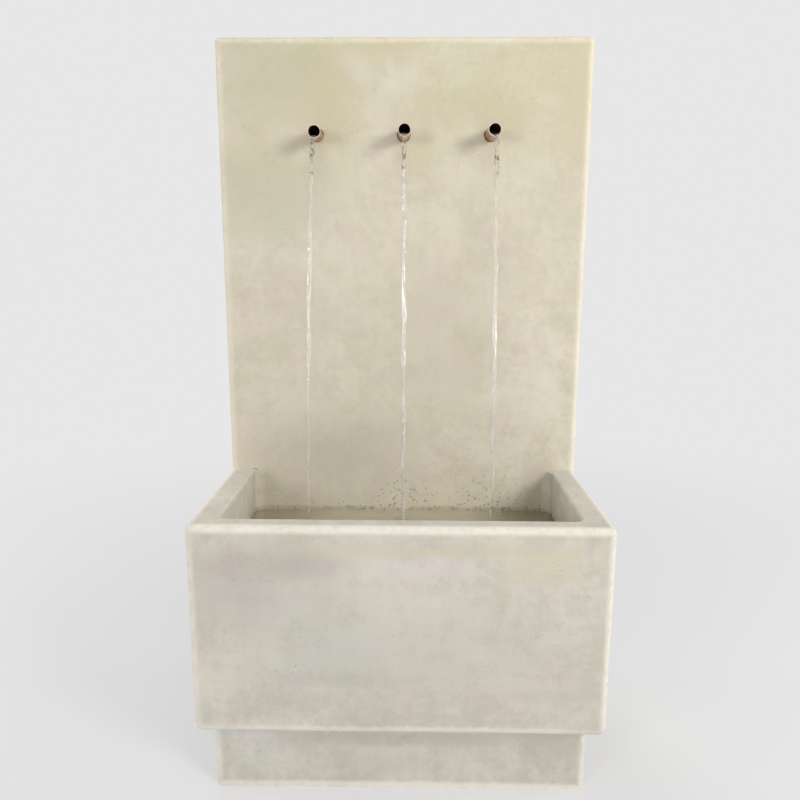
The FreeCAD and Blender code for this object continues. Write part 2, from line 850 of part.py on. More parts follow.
def spout_seals():
    """Sealant rings between the spouts and the stone, set back from both faces."""
    seals = []
    for name, line in LINES.items():
        seal = ring(f"spout_seal_{name}", "y", dims.spout_radius + dims.fit_gap,
                    spout_hole_radius - dims.fit_gap, dims.spout_seal_setback,
                    dims.spout_wall_thickness - dims.spout_seal_setback)
        seals.append(place(seal, line * dims.spout_pitch, face_y, spout_z))
    return group("spout_seals", seals)


DIRECTIONS = {
    "left": FreeCAD.Vector(-1, 0, 0),
    "right": FreeCAD.Vector(1, 0, 0),
    "front": FreeCAD.Vector(0, -1, 0),
    "down": FreeCAD.Vector(0, 0, -1),
    "up": FreeCAD.Vector(0, 0, 1),
}


def rod(label, direction, start, radius, length):
    """A round bar along a direction, from a distance off the origin."""
    bar = doc.addObject("Part::Cylinder", f"{label}_rod")
    bar.setExpression("Radius", as_size(radius).text)
    bar.setExpression("Height", as_size(length).text)
    bar.Placement.Rotation = FreeCAD.Rotation(FreeCAD.Vector(0, 0, 1), DIRECTIONS[direction])
    for axis, part in zip("xyz", DIRECTIONS[direction]):
        bar.setExpression(f"Placement.Base.{axis}", (part * as_size(start)).text)
    return bar


def ball(label, radius):
    """A ball at the origin."""
    sphere = doc.addObject("Part::Sphere", f"{label}_ball")
    sphere.setExpression("Radius", as_size(radius).text)
    return sphere


def joined(label, members):
    """Several shapes as one."""
    fuse = doc.addObject("Part::MultiFuse", f"{label}_joined")
    fuse.Shapes = members
    return fuse


class Arm:
    """One socket of a pipe fitting: where it points, how long it is and the tube it takes."""

    def __init__(self, direction, length, tube_radius, tube_bore):
        self.direction = direction
        self.length = as_size(length)
        self.bore = tube_bore
        self.socket = tube_radius + dims.solder_gap
        self.outside = self.socket + dims.fitting_wall


def fitting(label, arms, socket_depth=None):
    """A copper fitting: a hollow ball with a socketed arm, beaded at its mouth, for each tube."""
    depth = dims.socket_depth if socket_depth is None else socket_depth
    outside = [ball(label, max((arm.outside for arm in arms), key=lambda size: size.value))]
    inside = [ball(label, max((arm.bore for arm in arms), key=lambda size: size.value))]
    for arm in arms:
        bead_start = arm.length - dims.fitting_bead_length
        outside.append(rod(label, arm.direction, 0, arm.outside, arm.length))
        outside.append(rod(label, arm.direction, bead_start,
                           arm.outside + dims.fitting_bead_height, dims.fitting_bead_length))
        inside.append(rod(label, arm.direction, 0, arm.bore, arm.length))
        inside.append(rod(label, arm.direction, arm.length - depth, arm.socket, depth + OVERRUN))
    hollow = doc.addObject("Part::Cut", label)
    hollow.Label = label
    hollow.Base = joined(label, outside)
    hollow.Tool = joined(label, inside)
    return hollow


def tube_arm(direction, length=None):
    """An arm for the common copper tube."""
    reach = dims.fitting_arm if length is None else length
    return Arm(direction, reach, dims.tube_radius, tube_bore_radius)


def spout_elbows():
    """Reducing elbows from the valve tails to the larger spouts."""
    elbows = []
    for name, line in LINES.items():
        arms = [Arm("front", dims.pipe_standoff, dims.spout_radius,
                    dims.spout_radius - dims.spout_tube_wall),
                tube_arm("down", dims.spout_elbow_leg)]
        elbow = fitting(f"spout_elbow_{name}", arms, dims.spout_insertion)
        elbows.append(place(elbow, line * dims.spout_pitch, pipe_y, spout_z))
    return group("spout_elbows", elbows)


# Ball valves: each has its own origin where the pipe's axis crosses the stem's, +Y along the stem

def at_valve(piece, line, y=0, z=0):
    """Place a piece by its line of pipework and its distance from that valve's origin."""
    return place(piece, line * dims.spout_pitch, pipe_y + y, valve_z + z)


def valve_body(name, line):
    """The brass body: two threaded ends, a belly for the ball and a neck for the stem."""
    body = new_body(f"valve_body_{name}")
    half = dims.valve_half_length
    belly = dims.valve_belly_half_length
    slope = dims.valve_belly_radius - dims.valve_thread_radius
    thread = dims.valve_thread_radius
    turn(body, outline(sketch_on(body, "XZ_Plane"), [
        (0, -half), (thread, -half), (thread, -belly - slope), (dims.valve_belly_radius, -belly),
        (dims.valve_belly_radius, belly), (thread, belly + slope), (thread, half), (0, half)]))
    neck = circle(sketch_on(body, "XZ_Plane"), 0, 0, dims.neck_radius)
    pad(body, neck, dims.neck_height, reverse=True)
    port = dims.valve_port_radius
    stop = half - dims.socket_depth
    cavity = dims.ball_radius
    turn_away(body, outline(sketch_on(body, "XZ_Plane"), [
        (0, -half - OVERRUN), (socket_radius, -half - OVERRUN), (socket_radius, -stop),
        (port, -stop), (port, -cavity), (dims.ball_cavity_radius, -cavity),
        (dims.ball_cavity_radius, cavity), (port, cavity), (port, stop),
        (socket_radius, stop), (socket_radius, half + OVERRUN), (0, half + OVERRUN)]))
    stem_bore = dims.stem_radius + dims.stem_running_gap
    stem_hole = circle(sketch_on(body, "XZ_Plane"), 0, 0, stem_bore)
    cut(body, stem_hole, dims.neck_height + OVERRUN)
    return at_valve(body, line)


def valve_ball(name, line):
    """The bored ball, with a slot in its top for the stem's tang."""
    port = dims.valve_port_radius
    radius = dims.ball_radius
    chord = (radius * radius - port * port).root()
    body = turned(f"valve_ball_{name}", "z", [(port, -chord, 0, 0), (port, chord)])
    half_slot = dims.stem_tang_thickness / 2 + dims.tang_gap
    slot_floor = radius - dims.stem_tang_depth - dims.tang_gap
    slot = rectangle(sketch_on(body, "XZ_Plane", (0, 0, -slot_floor)),
                     -half_slot, -radius, half_slot, radius)
    cut(body, slot, dims.stem_tang_depth + OVERRUN)
    return at_valve(body, line)


def valve_stem(name, line):
    """The stem: a flat tang in the ball's slot below a round shank."""
    body = new_body(f"valve_stem_{name}")
    tang_start = dims.ball_radius - dims.stem_tang_depth
    half_tang = dims.stem_tang_thickness / 2
    half_reach = (dims.stem_radius * dims.stem_radius - half_tang * half_tang).root()
    tang = rectangle(sketch_on(body, "XZ_Plane", (0, 0, -tang_start)),
                     -half_tang, -half_reach, half_tang, half_reach)
    pad(body, tang, dims.stem_tang_depth + dims.tang_gap, reverse=True)
    shank_start = dims.ball_radius + dims.tang_gap
    shank_length = lever_seat() + dims.lever_thickness + dims.lever_nut_height + dims.stem_tip - shank_start
    shank = circle(sketch_on(body, "XZ_Plane", (0, 0, -shank_start)), 0, 0, dims.stem_radius)
    pad(body, shank, shank_length, reverse=True)
    return at_valve(body, line)


def lever_seat():
    """The distance from the valve's axis to the underside of its lever."""
    return dims.neck_height + dims.gland_height + dims.lever_washer_gap


def valve_lever(name, line):
    """The lever, which hangs along the pipe while the valve is open."""
    body = new_body(f"valve_lever_{name}")
    half = dims.lever_width / 2
    head = dims.lever_head_radius
    join = -(head * head - half * half).root()
    tip = -dims.lever_length + half
    outer = outline(sketch_on(body, "XZ_Plane"), [
        (-half, tip, 0, tip), (half, tip), (half, join, 0, 0), (-half, join)])
    pad(body, outer, dims.lever_thickness, reverse=True)
    hole = circle(sketch_on(body, "XZ_Plane"), 0, 0, dims.stem_radius + dims.fit_gap)
    cut(body, hole, dims.lever_thickness + OVERRUN)
    return at_valve(body, line, lever_seat())


def hex_nut(label, flats, height, bore):
    """A hexagon nut with its flat underside at the origin, facing along +Y."""
    body = new_body(label)
    blank = hexagon(sketch_on(body, "XZ_Plane"), flats)
    circle(blank, 0, 0, bore)
    pad(body, blank, height, reverse=True)
    return body


def gland_nuts():
    """The nuts that press each valve's stem packing."""
    nuts = []
    for name, line in LINES.items():
        nut = hex_nut(f"gland_nut_{name}", dims.gland_flats, dims.gland_height,
                      dims.stem_radius + dims.stem_running_gap)
        nuts.append(at_valve(nut, line, dims.neck_height))
    return group("gland_nuts", nuts)


def valve_seats():
    """Two seat rings for each ball, coned to lie close to it."""
    port = dims.valve_port_radius
    outer = dims.ball_cavity_radius - dims.ball_seat_gap
    contact = (dims.ball_radius + dims.ball_seat_gap) * ROOT_TWO
    seats = []
    for name, line in LINES.items():
        for end in (-1, 1):
            seat = turned(f"valve_seat_{name}_{len(seats)}", "z", [
                (port, end * (contact - port)), (outer, end * (contact - outer)),
                (outer, end * dims.ball_radius), (port, end * dims.ball_radius)])
            seats.append(at_valve(seat, line))
    return group("valve_seats", seats)


def valve_nuts():
    """The compression nuts on both ends of each valve."""
    flush = dims.valve_half_length - dims.valve_nut_start + dims.fit_gap
    length = dims.valve_nut_length
    thread = dims.valve_thread_radius + dims.fit_gap
    nuts = []
    for name, line in LINES.items():
        for end in (-1, 1):
            body = new_body(f"valve_nut_{name}_{len(nuts)}")
            blank = hexagon(sketch_on(body, "XY_Plane"), dims.valve_nut_flats)
            pad(body, blank, length, reverse=end < 0)
            turn_away(body, outline(sketch_on(body, "XZ_Plane"), [
                (0, -end * OVERRUN), (thread, -end * OVERRUN), (thread, end * flush),
                (socket_radius, end * flush), (socket_radius, end * (length + OVERRUN)),
                (0, end * (length + OVERRUN))]))
            nuts.append(at_valve(body, line, 0, end * dims.valve_nut_start))
    return group("valve_nuts", nuts)


def valves():
    """The moving pieces and the body of each valve."""
    pieces = []
    nut_seat = lever_seat() + dims.lever_thickness
    for name, line in LINES.items():
        pieces += [valve_body(name, line), valve_ball(name, line),
                   valve_stem(name, line), valve_lever(name, line)]
        nut = hex_nut(f"lever_nut_{name}", dims.lever_nut_flats, dims.lever_nut_height,
                      dims.stem_radius + dims.fit_gap)
        pieces.append(at_valve(nut, line, nut_seat))
    return pieces


# Copper pipework between the pump's elbow and the valves

def valve_tails():
    """The copper tubes below and above each valve."""
    socket = dims.fitting_arm - dims.socket_depth
    stop = dims.valve_half_length - dims.socket_depth
    elbow_stop = dims.spout_elbow_leg - dims.spout_insertion
    tails = []
    for name, line in LINES.items():
        lower = ring(f"valve_tail_{name}_lower", "z", tube_bore_radius, dims.tube_radius,
                     manifold_z + socket - valve_z, -stop)
        upper = ring(f"valve_tail_{name}_upper", "z", tube_bore_radius, dims.tube_radius,
                     stop, dims.valve_drop - elbow_stop)
        tails += [at_valve(lower, line), at_valve(upper, line)]
    return group("valve_tails", tails)


def manifold():
    """A cross in the middle, an elbow at each end and the two tubes between them."""
    cross = fitting("manifold_cross", [tube_arm(way) for way in ("left", "right", "up", "down")])
    place(cross, 0, pipe_y, manifold_z)
    elbows = []
    tubes = []
    start = dims.fitting_arm - dims.socket_depth
    for side, inward in ((-1, "right"), (1, "left")):
        elbow = fitting(f"manifold_elbow_{len(elbows) + 1}", [tube_arm(inward), tube_arm("up")])
        elbows.append(place(elbow, side * dims.spout_pitch, pipe_y, manifold_z))
        ends = (side * start, side * (dims.spout_pitch - start))
        low, high = ends if side > 0 else ends[::-1]
        tube = cross_tube(f"manifold_tube_{len(tubes) + 1}", low, high)
        tubes.append(place(tube, 0, pipe_y, manifold_z))
    return [cross, group("manifold_elbows", elbows), group("manifold_tubes", tubes)]


def riser():
    """The riser in its chase, and the elbow and stub that bring it through the tongue."""
    socket = dims.fitting_arm - dims.socket_depth
    pipe = ring("riser_pipe", "z", tube_bore_radius, dims.tube_radius,
                stub_z + socket, manifold_z - socket)
    place(pipe, 0, pipe_y, 0)
    elbow = fitting("riser_elbow", [tube_arm("front"), tube_arm("up")])
    place(elbow, 0, pipe_y, stub_z)
    stub = ring("riser_stub", "y", tube_bore_radius, dims.tube_radius,
                face_y - dims.stub_reach - pipe_y, -socket)
    place(stub, 0, pipe_y, stub_z)
    inner = dims.tube_radius + dims.fit_gap
    lip = dims.stub_seal_lip
    end = pipe_y - dims.fitting_arm - dims.stub_seal_setback - face_y
    seal = turned("stub_seal", "y", [
        (inner, -lip), (stub_hole_radius + lip, -lip), (stub_hole_radius + lip, 0),
        (stub_hole_radius - dims.fit_gap, 0), (stub_hole_radius - dims.fit_gap, end), (inner, end)])
    place(seal, 0, face_y, stub_z)
    return [pipe, elbow, stub, seal]


def pipe_clips():
    """Snap clips screwed to the floor of the chase."""
    half = dims.clip_width / 2
    head_front = -dims.tube_radius - dims.clip_head_gap
    head_back = head_front - dims.clip_screw_head_height
    grip = dims.tube_radius + dims.fit_gap
    clips = []
    screws = []
    for level in clip_levels():
        number = len(clips) + 1
        clip = new_body(f"pipe_clip_{number}")
        plan = rectangle(sketch_on(clip, "XY_Plane"), -half, -dims.riser_standoff, half, dims.clip_lip)
        pad(clip, plan, dims.clip_height, symmetric=True)
        bore = circle(sketch_on(clip, "XY_Plane"), 0, 0, grip)
        cut(clip, bore, dims.clip_height + OVERRUN, symmetric=True)
        sink = circle(sketch_on(clip, "XZ_Plane"), 0, 0, dims.clip_screw_head_radius + dims.screw_side_gap)
        cut(clip, sink, -head_back, reverse=True)
        hole = circle(sketch_on(clip, "XZ_Plane"), 0, 0, dims.clip_screw_radius + dims.screw_side_gap)
        cut(clip, hole, dims.riser_standoff + OVERRUN, reverse=True)
        clips.append(place(clip, 0, pipe_y, level))
        tip = chase_y - pipe_y - dims.clip_screw_depth + dims.screw_side_gap
        screw = turned(f"clip_screw_{number}", "y", [
            (0, tip), (dims.clip_screw_radius, tip + dims.clip_screw_radius),
            (dims.clip_screw_radius, head_back), (dims.clip_screw_head_radius, head_back),
            (dims.clip_screw_head_radius, head_front), (0, head_front)])
        screws.append(place(screw, 0, pipe_y, level))
    return [group("pipe_clips", clips), group("clip_screws", screws)]


# Pump: every piece has its origin on the rotor's axis, where the volute meets the motor housing.
# +Y is the motor's side; the outlet points up on the right.

def at_pump(piece, x=0, y=0, z=0):
    """Place a piece by its distance from the pump's origin."""
    return place(piece, pump_x + x, pump_y + y, pump_axis_z + z)


def pump_screw_places():
    """The corners that are screwed; the outlet takes the fourth."""
    across = dims.pump_width / 2 - dims.pump_screw_inset
    up = dims.pump_tall / 2 - dims.pump_screw_inset
    return [(-across, up), (-across, -up), (across, -up)]


def foot_places():
    """The four feet under the motor housing, as (x, y)."""
    across = dims.pump_width / 2 - dims.foot_inset
    along = (dims.foot_inset, dims.pump_length - dims.foot_inset)
    return [(side * across, row) for side in (-1, 1) for row in along]


def pump_housing():
    """The potted motor: a rounded block with a well for the rotor and a seat for its rear bush."""
    body = new_body("pump_housing")
    half_width = dims.pump_width / 2
    half_tall = dims.pump_tall / 2
    face = rectangle(sketch_on(body, "XZ_Plane"), -half_width, -half_tall, half_width, half_tall)
    pad(body, face, dims.pump_length, reverse=True)
    dress(body, "Fillet", dims.pump_edge_radius, lambda edge: edge.BoundBox.YMax > 1)
    well = circle(sketch_on(body, "XZ_Plane"), 0, 0, dims.rotor_well_radius)
    cut(body, well, dims.rotor_well_depth)
    seat = circle(sketch_on(body, "XZ_Plane"), 0, 0, dims.bush_radius + dims.fit_gap)
    cut(body, seat, dims.rotor_well_depth + dims.bush_seat_depth)
    groove = sketch_on(body, "XZ_Plane")
    half_groove = dims.seal_section_radius + dims.fit_gap
    circle(groove, 0, 0, dims.seal_ring_radius - half_groove)
    circle(groove, 0, 0, dims.seal_ring_radius + half_groove)
    cut(body, groove, half_groove * 2)
    screws = sketch_on(body, "XZ_Plane")
    for x, z in pump_screw_places():
        circle(screws, x, z, dims.pump_screw_radius + dims.screw_side_gap)
    cut(body, screws, dims.pump_screw_length)
    sockets = sketch_on(body, "XY_Plane", (0, 0, -half_tall))
    for x, y in foot_places():
        circle(sockets, x, y, dims.foot_stem_radius + dims.fit_gap)
    cut(body, sockets, dims.foot_stem_height + dims.fit_gap, reverse=True)
    return at_pump(body)


def spiral(sketch, wall=0):
    """The volute's outline: four quarter arcs, each wider than the last, and a step back."""
    half = dims.volute_growth / 2
    centres = [(-half, half), (-half, -half), (half, -half), (half, half)]
    quarter_starts = [(1, 0), (0, 1), (-1, 0), (0, -1)]
    radius = dims.volute_start_radius + wall
    corners = []
    for (u, v), (along, up) in zip(centres, quarter_starts):
        corners.append((u + along * radius, v + up * radius, u, v))
        radius = radius + dims.volute_growth
    corners.append((half + radius - dims.volute_growth, half))
    return outline(sketch, corners)


def volute():
    """The front half of the pump, with the intake's spider and collar and the upright outlet."""
    body = new_body("volute")
    half_width = dims.pump_width / 2
    half_tall = dims.pump_tall / 2
    depth = dims.volute_thickness
    flange = rectangle(sketch_on(body, "XZ_Plane"), -half_width, -half_tall, half_width, half_tall)
    pad(body, flange, dims.volute_flange)
    dress(body, "Fillet", dims.pump_edge_radius, lambda edge: runs_along(edge, "y"))
    pad(body, spiral(sketch_on(body, "XZ_Plane"), dims.volute_wall), depth)
    boss = circle(sketch_on(body, "XY_Plane"), outlet_offset, -depth / 2, dims.outlet_radius)
    pad(body, boss, dims.outlet_rise)
    pad(body, circle(sketch_on(body, "XZ_Plane", (0, 0, depth)), 0, 0, dims.collar_radius),
        dims.collar_length)
    cut(body, spiral(sketch_on(body, "XZ_Plane")), depth - dims.volute_wall, reverse=True)
    front = (0, 0, depth + dims.collar_length)
    cut(body, circle(sketch_on(body, "XZ_Plane", front), 0, 0, dims.collar_radius - dims.collar_wall),
        dims.collar_length)
    cut(body, circle(sketch_on(body, "XZ_Plane", front), 0, 0, dims.intake_radius),
        dims.collar_length + dims.volute_wall)
    outlet = circle(sketch_on(body, "XY_Plane", (0, 0, dims.outlet_rise)),
                    outlet_offset, -depth / 2, dims.outlet_bore_radius)
    cut(body, outlet, dims.outlet_bore_depth)
    screws = sketch_on(body, "XZ_Plane")
    for x, z in pump_screw_places():
        circle(screws, x, z, dims.pump_screw_radius + dims.screw_side_gap)
    cut(body, screws, dims.volute_flange, reverse=True)
    half_arm = dims.spider_arm / 2
    arm = pad(body, rectangle(sketch_on(body, "XZ_Plane", (0, 0, depth)), -half_arm, 0,
                              half_arm, dims.intake_radius + dims.spider_arm / 2),
              dims.volute_wall, reverse=True)
    ring_of(body, arm, dims.spider_arm_count, "Y_Axis")
    hub = circle(sketch_on(body, "XZ_Plane", (0, 0, depth)), 0, 0, dims.spider_hub_radius)
    pad(body, hub, dims.spider_hub_length, reverse=True)
    seat = circle(sketch_on(body, "XZ_Plane", (0, 0, depth - dims.spider_hub_length)), 0, 0,
                  dims.bush_radius + dims.fit_gap)
    cut(body, seat, dims.bush_seat_depth, reverse=True)
    return at_pump(body)


def volute_seal():
    """The ring seal in the housing's groove."""
    body = new_body("volute_seal")
    section = circle(sketch_on(body, "XY_Plane"), dims.seal_ring_radius,
                     dims.seal_section_radius + dims.fit_gap, dims.seal_section_radius)
    turn(body, section)
    return at_pump(body)


def pump_screws():
    """The screws that hold the volute to the housing."""
    seat = -dims.volute_flange
    tip = seat + dims.pump_screw_length
    profile = [(0, seat - dims.pump_screw_head_height),
               (dims.pump_screw_head_radius, seat - dims.pump_screw_head_height),
               (dims.pump_screw_head_radius, seat), (dims.pump_screw_radius, seat),
               (dims.pump_screw_radius, tip - dims.pump_screw_radius), (0, tip)]
    screws = []
    for x, z in pump_screw_places():
        screw = turned(f"pump_screw_{len(screws) + 1}", "y", profile)
        screws.append(at_pump(screw, x, 0, z))
    return group("pump_screws", screws)


def rotor():
    """Impeller and magnet, which turn together on a fixed shaft held by a bush at each end."""
    hub_front = -(dims.impeller_disc_setback + dims.impeller_disc + dims.blade_height)
    disc_front = -(dims.impeller_disc_setback + dims.impeller_disc)
    magnet_end = dims.magnet_setback + dims.magnet_length
    bore = dims.shaft_radius + dims.shaft_running_gap
    impeller = turned("impeller", "y", [
        (bore, hub_front), (dims.impeller_hub_radius, hub_front),
        (dims.impeller_hub_radius, disc_front), (dims.impeller_radius, disc_front),
        (dims.impeller_radius, -dims.impeller_disc_setback),
        (dims.impeller_hub_radius, -dims.impeller_disc_setback),
        (dims.impeller_hub_radius, dims.magnet_setback), (dims.rotor_sleeve_radius, dims.magnet_setback),
        (dims.rotor_sleeve_radius, magnet_end + dims.rotor_sleeve_tail),
        (bore, magnet_end + dims.rotor_sleeve_tail)])
    bow = -dims.blade_bow_offset
    edges = []
    for radius in (dims.blade_bow_radius + dims.blade_thickness / 2,
                   dims.blade_bow_radius - dims.blade_thickness / 2):
        for angle in (dims.blade_last_angle, dims.blade_first_angle):
            u, v = radius.at_angle(angle)
            edges.append((u, v + bow))
    outer_tip, outer_root, inner_tip, inner_root = edges
    blade = outline(sketch_on(impeller, "XZ_Plane", (0, 0, -disc_front)), [
        (*outer_tip, 0, bow), outer_root, (*inner_root, 0, bow, CLOCKWISE), inner_tip])
    ring_of(impeller, pad(impeller, blade, dims.blade_height), dims.blade_count, "Y_Axis")
    magnet = ring("rotor_magnet", "y", dims.rotor_sleeve_radius + dims.fit_gap, dims.magnet_radius,
                  dims.magnet_setback, magnet_end)
    front_seat = -dims.volute_thickness + dims.spider_hub_length - dims.bush_seat_depth
    rear_seat = dims.rotor_well_depth + dims.bush_seat_depth
    shaft = turned("rotor_shaft", "y", [
        (0, front_seat + dims.shaft_end_setback), (dims.shaft_radius, front_seat + dims.shaft_end_setback),
        (dims.shaft_radius, rear_seat - dims.shaft_end_setback), (0, rear_seat - dims.shaft_end_setback)])
    margin = (dims.bush_seat_depth - dims.bush_length) / 2
    bushes = []
    for start in (front_seat + margin, rear_seat - margin - dims.bush_length):
        bush = ring(f"shaft_bush_{len(bushes) + 1}", "y", bore, dims.bush_radius,
                    start, start + dims.bush_length)
        bushes.append(at_pump(bush))
    return [at_pump(impeller), at_pump(magnet), at_pump(shaft), group("shaft_bushes", bushes)]


def window(sketch, side):
    """A window shaped as a piece of a ring, above or below the dial's pin."""
    half = dims.dial_window_angle / 2
    first = 90 * side - half
    last = 90 * side + half
    outer_start = dims.dial_window_outer.at_angle(first)
    outer_end = dims.dial_window_outer.at_angle(last)
    inner_start = dims.dial_window_inner.at_angle(first)
    inner_end = dims.dial_window_inner.at_angle(last)
    return outline(sketch, [(*outer_start, 0, 0), outer_end, (*inner_end, 0, 0, CLOCKWISE), inner_start])


def intake_cover():
    """The slotted cup that pulls off the collar; two windows in its face sit behind the dial."""
    body = new_body("intake_cover")
    inner = dims.collar_radius + dims.cover_fit_gap
    outer = inner + dims.cover_wall
    back = -dims.volute_thickness - dims.cover_seat_gap
    front = back - dims.cover_length
    turn(body, outline(sketch_on(body, "XY_Plane"), [
        (0, front), (outer, front), (outer, back), (inner, back),
        (inner, front + dims.cover_wall), (0, front + dims.cover_wall)]))
    dress(body, "Fillet", dims.cover_edge_radius, lambda edge: near(edge.BoundBox.YMax, front)
          and near(edge.BoundBox.ZLength, outer * 2))
    half_slot = dims.slot_width / 2
    slot_end = front + dims.side_slot_from_front + dims.side_slot_length
    side = rectangle(sketch_on(body, "XY_Plane", (0, 0, outer + OVERRUN)),
                     -half_slot, front + dims.side_slot_from_front, half_slot, slot_end)
    ring_of(body, cut(body, side, dims.cover_wall + 2 * OVERRUN), dims.cover_side_slots, "Y_Axis")
    face = (0, 0, -front + OVERRUN)
    slot = rectangle(sketch_on(body, "XZ_Plane", face), -half_slot, dims.face_slot_inner_radius,
                     half_slot, dims.face_slot_outer_radius)
    ring_of(body, cut(body, slot, dims.cover_wall + 2 * OVERRUN), dims.cover_face_slots, "Y_Axis")
    middle = sketch_on(body, "XZ_Plane", face)
    circle(middle, 0, 0, dims.dial_pin_radius + dims.dial_pin_gap)
    for side_sign in (-1, 1):
        window(middle, side_sign)
    cut(body, middle, dims.cover_wall + 2 * OVERRUN)
    return at_pump(body)


def flow_dial():
    """The dial that turns its own two windows over the cover's to throttle the intake."""
    body = new_body("flow_dial")
    cover_front = -dims.volute_thickness - dims.cover_seat_gap - dims.cover_length
    catch = cover_front + dims.cover_wall + dims.dial_face_gap
    back = cover_front - dims.dial_face_gap
    front = back - dims.dial_thickness
    turn(body, outline(sketch_on(body, "XY_Plane"), [
        (0, front), (dims.dial_radius, front), (dims.dial_radius, back), (dims.dial_pin_radius, back),
        (dims.dial_pin_radius, catch), (dims.dial_catch_radius, catch),
        (dims.dial_catch_radius, catch + dims.dial_catch_length), (0, catch + dims.dial_catch_length)]))
    openings = sketch_on(body, "XZ_Plane", (0, 0, -back))
    for side_sign in (-1, 1):
        window(openings, side_sign)
    cut(body, openings, dims.dial_thickness, reverse=True)
    half_grip = dims.dial_grip_width / 2
    reach = (dims.dial_radius * dims.dial_radius - half_grip * half_grip).root()
    grip = rectangle(sketch_on(body, "XZ_Plane", (0, 0, -front)), -reach, -half_grip, reach, half_grip)
    pad(body, grip, dims.dial_grip_height)
    return at_pump(body)


def suction_feet():
    """The pump's rubber feet, each with a stem in the housing's underside."""
    height = dims.foot_height
    profile = [(0, dims.foot_hollow), (dims.foot_radius - dims.foot_rim, 0), (dims.foot_radius, 0),
               (dims.foot_radius, dims.foot_rim), (dims.foot_neck_radius, height - dims.foot_neck_height),
               (dims.foot_neck_radius, height), (dims.foot_stem_radius, height),
               (dims.foot_stem_radius, height + dims.foot_stem_height),
               (0, height + dims.foot_stem_height)]
    feet = []
    for x, y in foot_places():
        foot = turned(f"suction_foot_{len(feet) + 1}", "z", profile)
        feet.append(at_pump(foot, x, y, -dims.pump_tall / 2 - height))
    return group("suction_feet", feet)


def cable_gland():
    """The gland on the housing's top, with the hole where the lead enters."""
    height = dims.gland_body_height
    gland = turned("cable_gland", "z", [
        (0, 0), (dims.gland_body_radius, 0), (dims.gland_body_radius, dims.gland_base_height),
        (dims.gland_tip_radius, height), (dims.cord_hole_radius, height),
        (dims.cord_hole_radius, height - dims.cord_hole_depth), (0, height - dims.cord_hole_depth)])
    return at_pump(gland, 0, dims.pump_length - dims.gland_from_back, dims.pump_tall / 2)


# Rubber elbow from the pump's outlet to the riser's stub

def outlet_nozzle():
    """The barbed nozzle screwed into the pump's outlet; its origin is on the outlet's rim."""
    body = new_body("outlet_nozzle")
    bore = dims.nozzle_bore_radius
    thread = dims.outlet_bore_radius - dims.fit_gap
    base = dims.nozzle_base_height
    pitch = dims.nozzle_grip / dims.barb_count
    corners = [(bore, -dims.nozzle_thread_length), (thread, -dims.nozzle_thread_length), (thread, 0),
               (dims.tube_radius, 0)]
    for barb in range(SIZES["barb_count"]):
        corners += [(dims.tube_radius, base + barb * pitch),
                    (dims.tube_radius - dims.barb_height, base + (barb + 1) * pitch)]
    corners.append((bore, base + dims.nozzle_grip))
    turn(body, outline(sketch_on(body, "XZ_Plane"), corners))
    flats = hexagon(sketch_on(body, "XY_Plane"), dims.nozzle_flats)
    circle(flats, 0, 0, bore)
    pad(body, flats, base)
    return at_pump(body, outlet_offset, -dims.volute_thickness / 2, dims.outlet_rise)


def rubber_elbow():
    """The moulded elbow: up from the nozzle, a quarter bend, and back over the stub."""
    body = new_body("rubber_elbow")
    inner = dims.tube_radius + dims.fit_gap
    outer = inner + dims.elbow_wall
    bend = dims.elbow_bend_radius
    start = pump_axis_z + dims.outlet_rise + dims.nozzle_base_height - stub_z
    end = face_y - dims.stub_reach + dims.elbow_grip - outlet_y
    rise = sketch_on(body, "XY_Plane", (0, 0, start))
    circle(rise, 0, 0, inner)
    circle(rise, 0, 0, outer)
    pad(body, rise, -start - bend)
    across = sketch_on(body, "XY_Plane", (0, 0, -bend))
    circle(across, 0, 0, inner)
    circle(across, 0, 0, outer)
    elbow = body.newObject("PartDesign::Revolution", "rubber_elbow_bend")
    elbow.Profile = across
    hinge = body.newObject("PartDesign::Line", "rubber_elbow_bend_axis")
    hinge.MapMode = "Deactivated"
    hinge.Placement.Rotation = FreeCAD.Rotation(FreeCAD.Vector(0, 1, 0), 90)
    hinge.setExpression("Placement.Base.y", bend.text)
    hinge.setExpression("Placement.Base.z", (-bend).text)
    elbow.ReferenceAxis = (hinge, [""])
    elbow.Angle = 90
    elbow.Reversed = True
    run = sketch_on(body, "XZ_Plane", (0, 0, -bend))
    circle(run, 0, 0, inner)
    circle(run, 0, 0, outer)
    pad(body, run, end - bend, reverse=True)
    return place(body, 0, outlet_y, stub_z)


def elbow_clamp(label, plane):
    """A worm clamp: its band about the normal of the plane, its box on the right."""
    body = new_body(label)
    inner = dims.tube_radius + 2 * dims.fit_gap + dims.elbow_wall
    band = sketch_on(body, plane)
    circle(band, 0, 0, inner)
    circle(band, 0, 0, inner + dims.clamp_band)
    pad(body, band, dims.clamp_width, symmetric=True)
    half_box = dims.clamp_box_length / 2
    box = rectangle(sketch_on(body, plane), inner, -half_box,
                    inner + dims.clamp_box_height, half_box)
    pad(body, box, dims.clamp_width, symmetric=True)
    return body


def elbow_clamps():
    """A clamp over the nozzle and one over the stub."""
    from_end = dims.clamp_end_margin + dims.clamp_width / 2
    lower = elbow_clamp("elbow_clamp_1", "XY_Plane")
    at_pump(lower, outlet_offset, -dims.volute_thickness / 2,
            dims.outlet_rise + dims.nozzle_base_height + from_end)
    upper = elbow_clamp("elbow_clamp_2", "XZ_Plane")
    place(upper, 0, face_y - dims.stub_reach + dims.elbow_grip - from_end, stub_z)
    return group("elbow_clamps", [lower, upper])


# Drain: every piece has its origin in the drain's axis at the level of the basin's floor

def at_drain(piece):
    """Place a piece of the drain."""
    return place(piece, dims.drain_offset, 0, floor_z)


